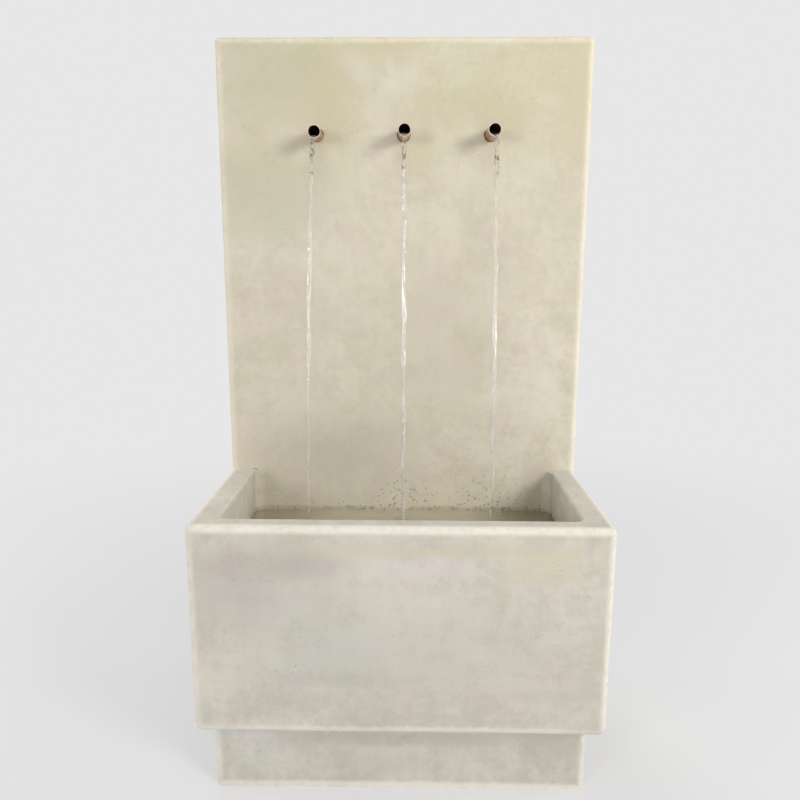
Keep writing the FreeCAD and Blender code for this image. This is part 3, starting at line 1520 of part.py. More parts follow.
def drain():
    """The flanged sleeve with its plain tail, its gasket and the locknut under the basin."""
    tube = dims.drain_tube_radius
    sleeve_hole = tube + dims.fit_gap
    under_flange = dims.drain_gasket_thickness
    top = under_flange + dims.drain_flange_thickness
    narrow = dims.drain_bore_radius - dims.drain_bore_taper
    thread_end = -dims.floor_thickness - dims.drain_nut_height - dims.drain_thread_past_nut
    tail = dims.drain_tail_radius
    bottom = thread_end - dims.drain_tail_length
    sleeve = turned("drain_sleeve", "z", [
        (narrow, bottom), (tail, bottom), (tail, thread_end), (tube, thread_end),
        (tube, under_flange), (dims.drain_flange_radius, under_flange),
        (dims.drain_flange_radius, top), (dims.drain_bore_radius, top),
        (narrow, top - dims.drain_taper_length)])
    gasket = ring("drain_gasket", "z", sleeve_hole, dims.drain_flange_radius, 0, under_flange)
    locknut = new_body("drain_locknut")
    blank = hexagon(sketch_on(locknut, "XY_Plane", (0, 0, -dims.floor_thickness)), dims.drain_nut_flats)
    circle(blank, 0, 0, sleeve_hole)
    pad(locknut, blank, dims.drain_nut_height, reverse=True)
    return [at_drain(piece) for piece in (sleeve, gasket, locknut)]


def drain_stopper():
    """The tapered stopper with its pull tab, and a slit hole for the pump's lead."""
    body = new_body("drain_stopper")
    gap = dims.stopper_gap
    seat = dims.drain_gasket_thickness + dims.drain_flange_thickness
    slope = dims.drain_bore_taper / dims.drain_taper_length
    top = dims.drain_bore_radius - gap
    head_top = seat + gap + dims.stopper_head_height
    turn(body, outline(sketch_on(body, "XZ_Plane"), [
        (0, seat - dims.stopper_length), (top - slope * dims.stopper_length, seat - dims.stopper_length),
        (top, seat), (top, seat + gap), (dims.stopper_head_radius, seat + gap),
        (dims.stopper_head_radius, head_top), (0, head_top)]))
    half_tab = dims.stopper_tab_width / 2
    neck = head_top + dims.stopper_tab_height - half_tab
    tab = outline(sketch_on(body, "XZ_Plane"), [
        (-half_tab, head_top - 1), (half_tab, head_top - 1), (half_tab, neck, 0, neck), (-half_tab, neck)])
    circle(tab, 0, neck, half_tab / 2)
    pad(body, tab, dims.stopper_tab_thickness, symmetric=True)
    above = (0, 0, head_top + OVERRUN)
    lead = circle(sketch_on(body, "XY_Plane", above), 0, dims.stopper_cord_offset, dims.cord_hole_radius)
    length = dims.stopper_length + dims.stopper_head_height + 2 * OVERRUN + gap
    cut(body, lead, length)
    half_slit = dims.stopper_slit / 2
    slit = rectangle(sketch_on(body, "XY_Plane", above), -half_slit, dims.stopper_cord_offset,
                     half_slit, dims.stopper_head_radius + OVERRUN)
    cut(body, slit, length)
    return at_drain(body)


pieces = [
    plinth(), setting_pads(), basin(), back_panel(), corner_coves(), seat_strip(), locating_dowels(),
    anchor_sockets(), *spouts(), spout_seals(), spout_elbows(), *valves(), gland_nuts(), valve_seats(),
    valve_nuts(), valve_tails(), *manifold(), *riser(), *pipe_clips(),
    pump_housing(), volute(), volute_seal(), pump_screws(), *rotor(), intake_cover(), flow_dial(),
    suction_feet(), cable_gland(), outlet_nozzle(), rubber_elbow(), elbow_clamps(),
    *drain(), drain_stopper(),
]
doc.recompute()

for item in doc.Objects:
    if "Invalid" in item.State or "Error" in item.State:
        raise RuntimeError(f"{item.Label}: {item.State}")
os.makedirs("parts", exist_ok=True)
for piece in pieces:
    if piece.Shape.isNull() or not piece.Shape.isValid():
        raise RuntimeError(f"{piece.Label} has no valid shape")
    piece.Shape.exportStep(f"parts/{piece.Label}.step")
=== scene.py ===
"""Looks of a cast-stone garden wall fountain with three copper spouts.

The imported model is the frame: the stonework and the spouts are modelled again here with cast and
cut edges, water is added, and every other piece keeps its mesh and gets a finish of its own.
Units are metres, +Z up, +Y towards the wall behind the fountain.
"""

import logging
import math
from abc import ABC, abstractmethod
from contextlib import contextmanager
from dataclasses import dataclass, field, replace
from enum import Enum
from typing import Any, Callable, Iterator, Mapping, Sequence

import bmesh
import bpy
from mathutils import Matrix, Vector

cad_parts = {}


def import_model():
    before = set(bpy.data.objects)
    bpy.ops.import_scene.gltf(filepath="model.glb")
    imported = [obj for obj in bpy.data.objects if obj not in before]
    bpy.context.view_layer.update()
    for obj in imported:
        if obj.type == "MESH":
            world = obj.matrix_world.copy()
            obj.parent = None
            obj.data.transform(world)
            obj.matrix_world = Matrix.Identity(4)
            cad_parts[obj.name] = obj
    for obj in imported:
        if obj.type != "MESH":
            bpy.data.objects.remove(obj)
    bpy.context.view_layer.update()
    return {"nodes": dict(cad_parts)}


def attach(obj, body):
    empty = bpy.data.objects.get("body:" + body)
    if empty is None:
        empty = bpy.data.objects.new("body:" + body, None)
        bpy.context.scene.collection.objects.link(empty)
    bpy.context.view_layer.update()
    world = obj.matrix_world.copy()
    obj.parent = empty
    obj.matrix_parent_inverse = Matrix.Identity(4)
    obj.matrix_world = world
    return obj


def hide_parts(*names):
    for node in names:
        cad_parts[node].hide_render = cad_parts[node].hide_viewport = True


LOG = logging.getLogger("wall_fountain")
FOUNTAIN = "fountain"
Colour = tuple[float, float, float]
Point = tuple[float, float, float]

# Places that several pieces share
HALF_WIDTH = 0.432
BACK_Y = 0.254
FACE_Y = 0.152
LIP_Y = 0.073
RIM_Z = 0.610
TOP_Z = 1.626
SPOUT_Z = 1.413
WATER_Z = 0.5025
BORE = 0.0134

# How far a cutter reaches past an outer face and past an inner one, and what counts as touching
PAST = 0.02
LAP = 0.01
TOUCH = 0.0005


class Line(Enum):
    """The three lines of pipework, with how far each stands to the right of the middle."""

    LEFT = -0.201
    CENTER = 0.0
    RIGHT = 0.201

    @property
    def label(self) -> str:
        """The line's name inside node names."""
        return self.name.lower()


# Shader graphs


@dataclass(frozen=True)
class Value:
    """A number on its way through a material: Python arithmetic on it adds Math nodes."""

    graph: "Graph"
    socket: bpy.types.NodeSocket

    def __add__(self, other: "Value | float") -> "Value":
        """This value and another together."""
        return self.graph.math("ADD", self, other)

    def __sub__(self, other: "Value | float") -> "Value":
        """This value less another."""
        return self.graph.math("SUBTRACT", self, other)

    def __rsub__(self, other: float) -> "Value":
        """A number less this value."""
        return self.graph.math("SUBTRACT", other, self)

    def __mul__(self, other: "Value | float") -> "Value":
        """This value times another."""
        return self.graph.math("MULTIPLY", self, other)

    def __truediv__(self, other: "Value | float") -> "Value":
        """This value over another."""
        return self.graph.math("DIVIDE", self, other)

    def __abs__(self) -> "Value":
        """This value without its sign."""
        return self.graph.math("ABSOLUTE", self)

    __radd__ = __add__
    __rmul__ = __mul__

    def power(self, exponent: float) -> "Value":
        """This value raised to a power."""
        return self.graph.math("POWER", self, exponent)

    def or_more(self, other: "Value | float") -> "Value":
        """The larger of this value and another."""
        return self.graph.math("MAXIMUM", self, other)

    def step(self, low: float, high: float) -> "Value":
        """A smooth step.

        Args:
            low: where the step is 0.
            high: where the step is 1, which may be below low.

        Returns:
            A share between 0 and 1.
        """
        if low > high:
            return 1 - self.step(high, low)
        return self.graph.node("ShaderNodeMapRange", {"interpolation_type": "SMOOTHSTEP"},
                               {"Value": self, "From Min": low, "From Max": high})


class Graph:
    """The nodes of a material or of the world, under construction."""

    def __init__(self, owner: bpy.types.Material | bpy.types.World) -> None:
        """Start an empty graph.

        Args:
            owner: the material or the world that it is for.
        """
        owner.use_nodes = True
        self.owner = owner
        self.nodes = owner.node_tree.nodes
        self.links = owner.node_tree.links
        self.nodes.clear()

    @classmethod
    def material(cls, name: str) -> "Graph":
        """The empty graph of a new material."""
        return cls(bpy.data.materials.new(name))

    def node(self, kind: str, settings: Mapping[str, Any] | None = None,
             inputs: Mapping[str | int, Any] | None = None, output: str | int = 0) -> Value:
        """Add a node.

        Args:
            kind: the node's type.
            settings: the node's own options, set before its sockets.
            inputs: a number, a colour or a Value for each named or numbered socket, or None to
                leave it alone.
            output: the socket that the result is read from.

        Returns:
            The node's output.
        """
        node = self.nodes.new(kind)
        for option, choice in (settings or {}).items():
            setattr(node, option, choice)
        for name, source in (inputs or {}).items():
            socket = node.inputs[name]
            if isinstance(source, Value):
                self.links.new(source.socket, socket)
            elif source is not None:
                plain = socket.type == "RGBA" and len(source) == 3
                socket.default_value = (*source, 1.0) if plain else source
        return Value(self, node.outputs[output])

    def math(self, operation: str, *numbers: Value | float) -> Value:
        """A Math node on up to three numbers."""
        return self.node("ShaderNodeMath", {"operation": operation}, dict(enumerate(numbers)))

    def blend(self, share: Value | float, first: Value | Colour, second: Value | Colour,
              mode: str = "MIX") -> Value:
        """Two colours, mixed by the share of the second."""
        return self.node("ShaderNodeMix", {"data_type": "RGBA", "blend_type": mode},
                         {0: share, 6: first, 7: second}, 2)

    def mix(self, share: Value | float, first: Value, second: Value) -> Value:
        """Two shaders, mixed by the share of the second."""
        return self.node("ShaderNodeMixShader", inputs={0: share, 1: first, 2: second})

    def place(self) -> Value:
        """The place on the object, in metres."""
        return self.node("ShaderNodeTexCoord", output="Object")

    def axes(self, place: Value) -> tuple[Value, Value, Value]:
        """The x, y and z of a place, one by one."""
        split = self.node("ShaderNodeSeparateXYZ", inputs={0: place}).socket.node
        return tuple(Value(self, output) for output in split.outputs)

    def stretched(self, place: Value, factors: Point, shift: Point = (0, 0, 0)) -> Value:
        """A place scaled along each axis and moved, for patterns that run one way."""
        return self.node("ShaderNodeVectorMath", {"operation": "MULTIPLY_ADD"},
                         {0: place, 1: factors, 2: shift})

    def noise(self, place: Value, scale: float, detail: float = 4.0, roughness: float = 0.55,
              warp: float = 0.0) -> Value:
        """Soft noise about 0.5.

        Args:
            place: where it is read.
            scale: how many features there are to the metre.
            detail: how many finer layers are added.
            roughness: how strong each finer layer is.
            warp: how far the pattern is pulled about.

        Returns:
            The noise.
        """
        return self.node("ShaderNodeTexNoise", inputs={
            "Vector": place, "Scale": scale, "Detail": detail, "Roughness": roughness,
            "Distortion": warp})

    def cells(self, place: Value, scale: float) -> Value:
        """Distance to the nearest of scattered points, scale of them to the metre."""
        return self.node("ShaderNodeTexVoronoi", inputs={"Vector": place, "Scale": scale},
                         output="Distance")

    def bump(self, height: Value, depth: float, strength: float = 1.0,
             under: Value | None = None) -> Value:
        """A surface normal from a height between 0 and 1 that stands for a depth in metres."""
        return self.node("ShaderNodeBump", inputs={
            "Height": height, "Distance": depth, "Strength": strength, "Normal": under})

    def surface(self, **inputs: Any) -> Value:
        """A Principled shader; an underscore in a socket's name stands for a space."""
        sockets = {name.replace("_", " "): value for name, value in inputs.items()}
        return self.node("ShaderNodeBsdfPrincipled", inputs=sockets)

    def done(self, shader: Value, kind: str = "Material") -> Any:
        """Finish the graph.

        Args:
            shader: what goes to the output.
            kind: Material or World.

        Returns:
            The material or the world.
        """
        output = self.nodes.new(f"ShaderNodeOutput{kind}")
        self.links.new(shader.socket, output.inputs["Surface"])
        return self.owner


# Finishes


def shade(colour: Colour, factor: float, most: float = 1.0) -> Colour:
    """A colour made lighter or darker by a factor, with each part kept to the most it may be."""
    return tuple(min(most, part * factor) for part in colour)


@dataclass(frozen=True)
class Stain:
    """A soft-edged patch of another colour on a stone face, by its middle and half sizes; most are
    stains, and some are painted shade and painted highlight.
    """

    x: float
    z: float
    half_x: float
    half_z: float
    colour: Colour
    strength: float


@dataclass(frozen=True)
class Hue:
    """A faint tint that clouds the stone, with the size and the shift of its pattern."""

    tint: Colour
    scale: float
    shift: Point


@dataclass(frozen=True)
class Spot:
    """A place on the stone, with the noises that several of its marks share."""

    graph: Graph
    place: Value
    x: Value
    y: Value
    z: Value
    patches: Value
    mottle: Value


@dataclass(frozen=True)
class CastStone:
    """Cast stone: clouded, banded by its pours, pitted with pinholes painted dark as painted shade,
    and pale on its arrises from rubbing and a painted highlight.
    """

    name: str
    pale: Colour
    dark: Colour
    warm: Colour
    warm_from: float = 9.0
    warm_to: float = 10.0
    band_strength: float = 0.2
    softness: float = 0.12
    hue_strength: float = 0.9
    hues: tuple[Hue, ...] = (Hue((1.0, 0.955, 0.965), 8, (3.1, 0, 0)),
                             Hue((0.935, 0.985, 0.945), 9, (0, 0, 4.7)))
    stains: tuple[Stain, ...] = ()
    stain_front: float = 0.0
    half_sizes: Point = (HALF_WIDTH, BACK_Y, 0.229)
    middle: Point = (0.0, 0.0, 0.381)
    arris_strength: float = 0.85
    arris_reach: float = 0.021
    arris_line: float = 0.006
    water_level: float | None = None
    hollow_x: tuple[float, float] = (0.385, 0.378)
    hollow_y: tuple[float, float] = (0.187, 0.181)
    hollow_shift: float = 0.027
    splash_top: float = 0.66
    soaked_colour: Colour = (0.34, 0.29, 0.175)
    algae_colour: Colour = (0.20, 0.17, 0.095)
    speck_colour: Colour = (0.17, 0.13, 0.085)
    wave_depth: float = 0.0012
    rub_depth: float = 0.0006
    pit_depth: float = 0.0011
    drift: float = 0.0

    def build(self) -> bpy.types.Material:
        """Make the material.

        Returns:
            The cast stone material.
        """
        graph = Graph.material(self.name)
        place = graph.stretched(graph.place(), (1, 1, 1), (self.drift,) * 3)
        x, y, z = graph.axes(graph.place())
        clouds = graph.noise(place, 3.4, 5, 0.55, 0.4)
        patches = graph.noise(place, 11, 6, 0.7, 0.6)
        mottle = graph.noise(place, 55, 5, 0.65)
        sand = graph.noise(place, 1500, 3, 0.7)
        bands = graph.noise(graph.stretched(place, (0.9, 0.9, 5)), 2.6, 6, 0.65, 1.1)
        runs = graph.noise(graph.stretched(place, (26, 26, 1.8)), 1.5, 4, 0.6, 0.3)
        tone = (clouds * 0.3 + patches * 0.38 + mottle * 0.22 + bands * self.band_strength
                + runs * 0.1)
        half_way = 0.5 + self.band_strength / 2
        tone = tone.step(half_way - self.softness, half_way + self.softness)
        colour = graph.blend(tone, self.pale, self.dark)
        hazes = [graph.noise(graph.stretched(place, (1, 1, 1.4), hue.shift), hue.scale, 5, 0.6,
                             0.8).step(0.5, 0.68) for hue in self.hues]
        for haze, hue in zip(hazes, self.hues):
            colour = graph.blend(haze * self.hue_strength, colour, hue.tint, "MULTIPLY")
        warm = z.step(self.warm_from, self.warm_to) * 0.75 + patches.step(0.48, 0.72) * 0.35
        warm = (warm * clouds.step(0.24, 0.56)).step(0, 1.0) * 0.92
        colour = graph.blend(warm, colour, self.warm)
        spot = Spot(graph, place, x, y, z, patches, mottle)
        colour = self.stained(spot, colour, patches * 0.5 + mottle * 0.35 + bands * 0.15)
        # Pale arrises: partly rubbing wear, partly a painted highlight where the rounded edges
        # catch the lamps and the light from the floor.
        arris = self.arrises(spot) * self.arris_strength
        colour = graph.blend(arris, colour, shade(self.pale, 1.28, 0.88))
        colour = graph.blend(sand.step(0.56, 0.72) * 0.28, colour, shade(self.dark, 0.62))
        colour = graph.blend(sand.step(0.44, 0.3) * 0.2, colour, shade(self.pale, 1.2))
        sparse = graph.noise(place, 17, 2).step(0.5, 0.66)
        pits = graph.cells(place, 150).step(0.18, 0.09) * sparse
        small_pits = graph.cells(place, 420).step(0.2, 0.1)
        small_pits = small_pits * graph.noise(place, 31, 2).step(0.58, 0.7)
        holes = pits.or_more(small_pits)
        # The pinholes are painted dark: painted shade inside them.
        colour = graph.blend(holes * 0.4, colour, shade(self.dark, 0.34))
        rough = 0.84 + mottle * 0.1
        if self.water_level is not None:
            colour, rough = self.wetted(spot, colour, rough)
        waves = graph.bump(clouds * 0.5 + bands * 0.5, self.wave_depth)
        rubbed = graph.bump(mottle * 0.6 + sand * 0.4, self.rub_depth, 0.8, waves)
        normal = graph.bump(1 - holes, self.pit_depth, 0.9, rubbed)
        return graph.done(graph.surface(Base_Color=colour, Roughness=rough, Normal=normal,
                                        Specular_IOR_Level=0.3))

    def stained(self, spot: Spot, colour: Value, fray: Value) -> Value:
        """Lay the patches over the stone's colour: stains, and painted shade and painted highlight.

        Args:
            spot: the place on the stone.
            colour: the stone's colour so far.
            fray: noise that frays the patches' edges.

        Returns:
            The stained colour.
        """
        facing = spot.y.step(self.stain_front + 0.03, self.stain_front + 0.01)
        for patch in self.stains:
            away_x = (spot.x - patch.x) / patch.half_x
            away_z = (spot.z - patch.z) / patch.half_z
            reach = away_x * away_x + away_z * away_z + (fray - 0.5) * 9
            share = reach.step(1.6, -0.6) * facing * patch.strength
            colour = spot.graph.blend(share, colour, patch.colour)
        return colour

    def arrises(self, spot: Spot) -> Value:
        """How near a place is to two outer faces at once, where the stone is rubbed and where a
        painted highlight is laid.

        Args:
            spot: the place on the stone.

        Returns:
            A share between 0 and 1.
        """
        along_x, along_y, along_z = (
            abs(part - middle).step(half - self.arris_reach, half - self.arris_line)
            for part, middle, half in zip((spot.x, spot.y, spot.z), self.middle, self.half_sizes))
        edge = (along_x * along_y).or_more(along_x * along_z).or_more(along_y * along_z)
        return edge * (0.55 + spot.mottle.step(0.35, 0.6) * 0.45)

    def wetted(self, spot: Spot, colour: Value, rough: Value) -> tuple[Value, Value]:
        """Darken the stone under and just above the water, and where it is splashed.

        Args:
            spot: the place on the stone.
            colour: the dry colour.
            rough: the dry roughness.

        Returns:
            The colour and roughness with the wet parts.
        """
        graph, place, x, z, water = spot.graph, spot.place, spot.x, spot.z, self.water_level
        inside = abs(x).step(*self.hollow_x) * abs(spot.y + self.hollow_shift).step(*self.hollow_y)
        level = z + (spot.patches - 0.5) * 0.022
        soaked = level.step(water + 0.016, water + 0.004) * inside * 0.5
        damp = level.step(water + 0.075, water + 0.012) * inside * 0.12
        rise = z.step(self.splash_top, water + 0.01)
        near_stream = abs(abs(x - 0.1) - 0.1).step(0.13, 0.02)
        near_stream = near_stream.or_more(level.step(0.525, 0.51) * 0.8)
        crowd = graph.noise(place, 60, 2).step(0.3, 0.6) * (rise + 0.25) * rise.step(0, 0.1)
        crowd = crowd * (near_stream * 0.45 + 0.55)
        drops = graph.cells(place, 105) / (crowd * 0.36 + 0.001)
        above = z.step(water - 0.012, water - 0.002)
        specks = drops.step(1.0, 0.6) * inside * above
        algae = graph.noise(place, 75, 4, 0.7).step(0.5, 0.62) * soaked * (0.25 + above * 0.75)
        colour = graph.blend(soaked.or_more(damp), colour, self.soaked_colour)
        colour = graph.blend(algae, colour, self.algae_colour)
        colour = graph.blend(specks * 0.54, colour, self.speck_colour)
        return colour, rough - soaked * 0.5 - specks * 0.4


@dataclass(frozen=True)
class Metal:
    """Bare metal with a drawn or turned grain, dulled in patches and darker where tarnished."""

    name: str
    bright: Colour
    tarnish: Colour
    tarnish_share: float
    grain: Point
    rough: float
    relief: float = 0.00012
    lime: Colour = (0.80, 0.72, 0.63)
    bloom: Colour | None = None
    lip: float | None = None

    def build(self) -> bpy.types.Material:
        """Make the material.

        Returns:
            The metal material.
        """
        graph = Graph.material(self.name)
        place = graph.place()
        patch = graph.noise(place, 60, 6, 0.65, 0.8)
        drift = graph.noise(place, 14, 3, 0.5, 0.4)
        lines = graph.noise(graph.stretched(place, self.grain), 60, 3, 0.6)
        dulled = (patch * 0.6 + drift * 0.5).step(0.72 - self.tarnish_share * 0.4, 0.8)
        colour = graph.blend(dulled * 0.85, self.bright, self.tarnish)
        colour = graph.blend(lines.step(0.35, 0.75) * 0.18, colour, self.tarnish)
        rough = self.rough + dulled * 0.24 + lines * 0.08
        metallic = 1 - dulled * 0.15
        if self.lip is not None:
            along = graph.axes(place)[1] + patch * 0.002
            limed = along.step(self.lip + 0.0026, self.lip + 0.0012)
            colour = graph.blend(limed * 0.85, colour, self.lime)
            rough = rough + limed * 0.3
            metallic = metallic - limed * 0.7
        if self.bloom is not None:
            crust = graph.noise(place, 190, 5, 0.7).step(0.6, 0.72) * drift.step(0.5, 0.68)
            colour = graph.blend(crust * 0.7, colour, self.bloom)
            rough = rough + crust * 0.3
            metallic = metallic - crust * 0.6
        normal = graph.bump(lines * 0.5 + patch * 0.5, self.relief, 0.7)
        return graph.done(graph.surface(Base_Color=colour, Roughness=rough, Metallic=metallic,
                                        Normal=normal))


@dataclass(frozen=True)
class Moulding:
    """Moulded rubber, plastic or ceramic: fine grain, scuffs, and dust or scale on its top."""

    name: str
    colour: Colour
    scuff: Colour
    rough: float
    grain: float = 0.00008
    dusting: float = 0.25
    dust: Colour = (0.52, 0.5, 0.44)
    coat: float = 0.0

    def build(self) -> bpy.types.Material:
        """Make the material.

        Returns:
            The moulded material.
        """
        graph = Graph.material(self.name)
        place = graph.place()
        tint = graph.noise(place, 25, 4, 0.6)
        texture = graph.noise(place, 1900, 2, 0.6)
        scratches = graph.noise(graph.stretched(place, (9, 1, 3)), 75, 4, 0.75, 1.2)
        scratches = scratches.step(0.64, 0.7)
        colour = graph.blend(tint * 0.35, self.colour, shade(self.colour, 0.72))
        colour = graph.blend(scratches * 0.3, colour, self.scuff)
        up = graph.axes(graph.node("ShaderNodeNewGeometry", output="Normal"))[2].step(0.2, 0.95)
        film = graph.noise(place, 60, 6, 0.6).step(0.3, 0.8) * up * self.dusting
        colour = graph.blend(film, colour, self.dust)
        rough = self.rough + texture * 0.08 + film * 0.5 + scratches * 0.1
        normal = graph.bump(texture, self.grain, 0.8)
        return graph.done(graph.surface(Base_Color=colour, Roughness=rough, Normal=normal,
                                        Coat_Weight=self.coat, Coat_Roughness=0.08))


@dataclass(frozen=True)
class Water(ABC):
    """Water that carries something, and lets lamps reach what is behind it."""

    name: str
    tint: Colour = (0.93, 0.97, 0.95)
    ripple: float = 0.0004

    def build(self) -> bpy.types.Material:
        """Make the material.

        Returns:
            The water material.
        """
        graph = Graph.material(self.name)
        place = graph.place()
        normal = graph.bump(graph.noise(place, 90, 3, 0.5, 0.3), self.ripple)
        clear = graph.surface(Base_Color=self.tint, Roughness=0.02, IOR=1.333,
                              Transmission_Weight=1.0, Normal=normal)
        shader = self.laden(graph, place, normal, clear)
        lamp = graph.node("ShaderNodeLightPath", output="Is Shadow Ray")
        through = graph.node("ShaderNodeBsdfTransparent", inputs={"Color": self.tint})
        return graph.done(graph.mix(lamp, shader, through))

    @abstractmethod
    def laden(self, graph: Graph, place: Value, normal: Value, clear: Value) -> Value:
        """Put what the water carries into it.

        Args:
            graph: the material.
            place: the place in the water.
            normal: the rippled normal.
            clear: the shader of the clear water.

        Returns:
            The shader of the water as it is.
        """


@dataclass(frozen=True)
class PoolWater(Water):
    """Still water over silt, with a painted shade that darkens the ends of the basin."""

    murk: float = 0.62
    pale_silt: Colour = (0.60, 0.55, 0.42)
    dark_silt: Colour = (0.42, 0.375, 0.26)
    mud: Colour = (0.19, 0.155, 0.09)

    def laden(self, graph: Graph, place: Value, normal: Value, clear: Value) -> Value:
        """Cloud the water with silt, and darken its ends with a painted shade.

        Args:
            graph: the material.
            place: the place in the water.
            normal: the rippled normal.
            clear: the shader of the clear water.

        Returns:
            The shader of the clouded water.
        """
        x, _, _ = graph.axes(place)
        silt = graph.blend(graph.noise(place, 30, 4, 0.6), self.pale_silt, self.dark_silt)
        # Painted shade: the ends of the pool are darkened, standing for shaded side walls mirrored
        # in the water.
        painted_end_shade = abs(x).step(0.14, 0.34) * 0.8
        bed = graph.surface(Base_Color=graph.blend(painted_end_shade, silt, self.mud), Roughness=0.12,
                            Normal=normal)
        return graph.mix(self.murk, clear, bed)


@dataclass(frozen=True)
class FallingWater(Water):
    """Water that leaves the spouts clear, with a few painted dark glints, and then whitens with air
    and painted highlight streaks.
    """

    air: float = 0.42
    air_colour: Colour = (0.84, 0.82, 0.90)
    clear_above: float = 1.35
    glint_top: float = 1.4
    glint_colour: Colour = (0.12, 0.115, 0.08)
    sheerness: float = 0.76
    sheer_colour: Colour = (0.985, 0.985, 0.99)

    def laden(self, graph: Graph, place: Value, normal: Value, clear: Value) -> Value:
        """Whiten the water with air and painted highlight streaks, and lay painted dark glints
        under the lip.

        Args:
            graph: the material.
            place: the place in the water.
            normal: the rippled normal.
            clear: the shader of the clear water.

        Returns:
            The shader of the water with air in it.
        """
        x, _, z = graph.axes(place)
        threads = graph.noise(graph.stretched(place, (230, 230, 16)), 1, 4, 0.7, 0.5)
        beads = graph.noise(graph.stretched(place, (120, 120, 70)), 1, 3, 0.7)
        middle = abs(x).step(0.1, 0.05)
        top = self.clear_above
        fade = z.step(top, top - 0.06) * (0.8 + z.step(0.84, 1.12) * 0.2)
        fade = fade * (0.68 + middle * 0.32)
        # The whitening is partly air in the water and partly painted highlight streaks where the
        # stream catches the lamps.
        share = (threads * 0.6 + beads * 0.4).step(0.46, 0.62) * fade * self.air
        air_and_highlight_white = graph.surface(Base_Color=self.air_colour, Roughness=0.3, Normal=normal)
        sheer = graph.node("ShaderNodeBsdfTransparent", inputs={"Color": self.sheer_colour})
        thin = graph.mix(self.sheerness, clear, sheer)
        # Painted dark glints under the lip, standing for dark surroundings seen through the clear
        # water.
        near_lip = z.step(top - 0.06, top - 0.02) * z.step(self.glint_top, self.glint_top - 0.01)
        painted_glints = graph.noise(graph.stretched(place, (105, 105, 36)), 1, 2).step(0.57, 0.62)
        painted_glints = painted_glints * near_lip * 0.7
        painted_dark = graph.surface(Base_Color=self.glint_colour, Roughness=0.05, Normal=normal)
        return graph.mix(share, graph.mix(painted_glints, thin, painted_dark), air_and_highlight_white)


@dataclass(frozen=True)
class StudioFloor:
    """A plain pale floor that fades into the background far away, for rays from the camera."""

    background: Colour
    name: str = "studio_floor"
    colour: Colour = (0.66, 0.655, 0.65)
    fade_from: float = 0.6
    fade_to: float = 3.2

    def build(self) -> bpy.types.Material:
        """Make the material.

        Returns:
            The floor material.
        """
        graph = Graph.material(self.name)
        place = graph.place()
        x, y, _ = graph.axes(place)
        grit = graph.noise(place, 340, 3, 0.6)
        colour = graph.blend(grit.step(0.3, 0.7) * 0.1, self.colour, shade(self.colour, 0.85))
        floor = graph.surface(Base_Color=colour, Roughness=0.8, Normal=graph.bump(grit, 0.0002))
        away = (x * x + y * y).power(0.5)
        far = graph.node("ShaderNodeEmission", inputs={"Color": self.background})
        seen = graph.node("ShaderNodeLightPath", output="Is Camera Ray")
        share = (away.step(self.fade_from, self.fade_to) * 0.5 + 0.5) * seen
        return graph.done(graph.mix(share, floor, far))


# Mesh work


@dataclass(frozen=True)
class Relief:
    """Noise that pushes a surface in and out, by its size and its depth from top to bottom."""

    name: str
    size: float
    depth: float


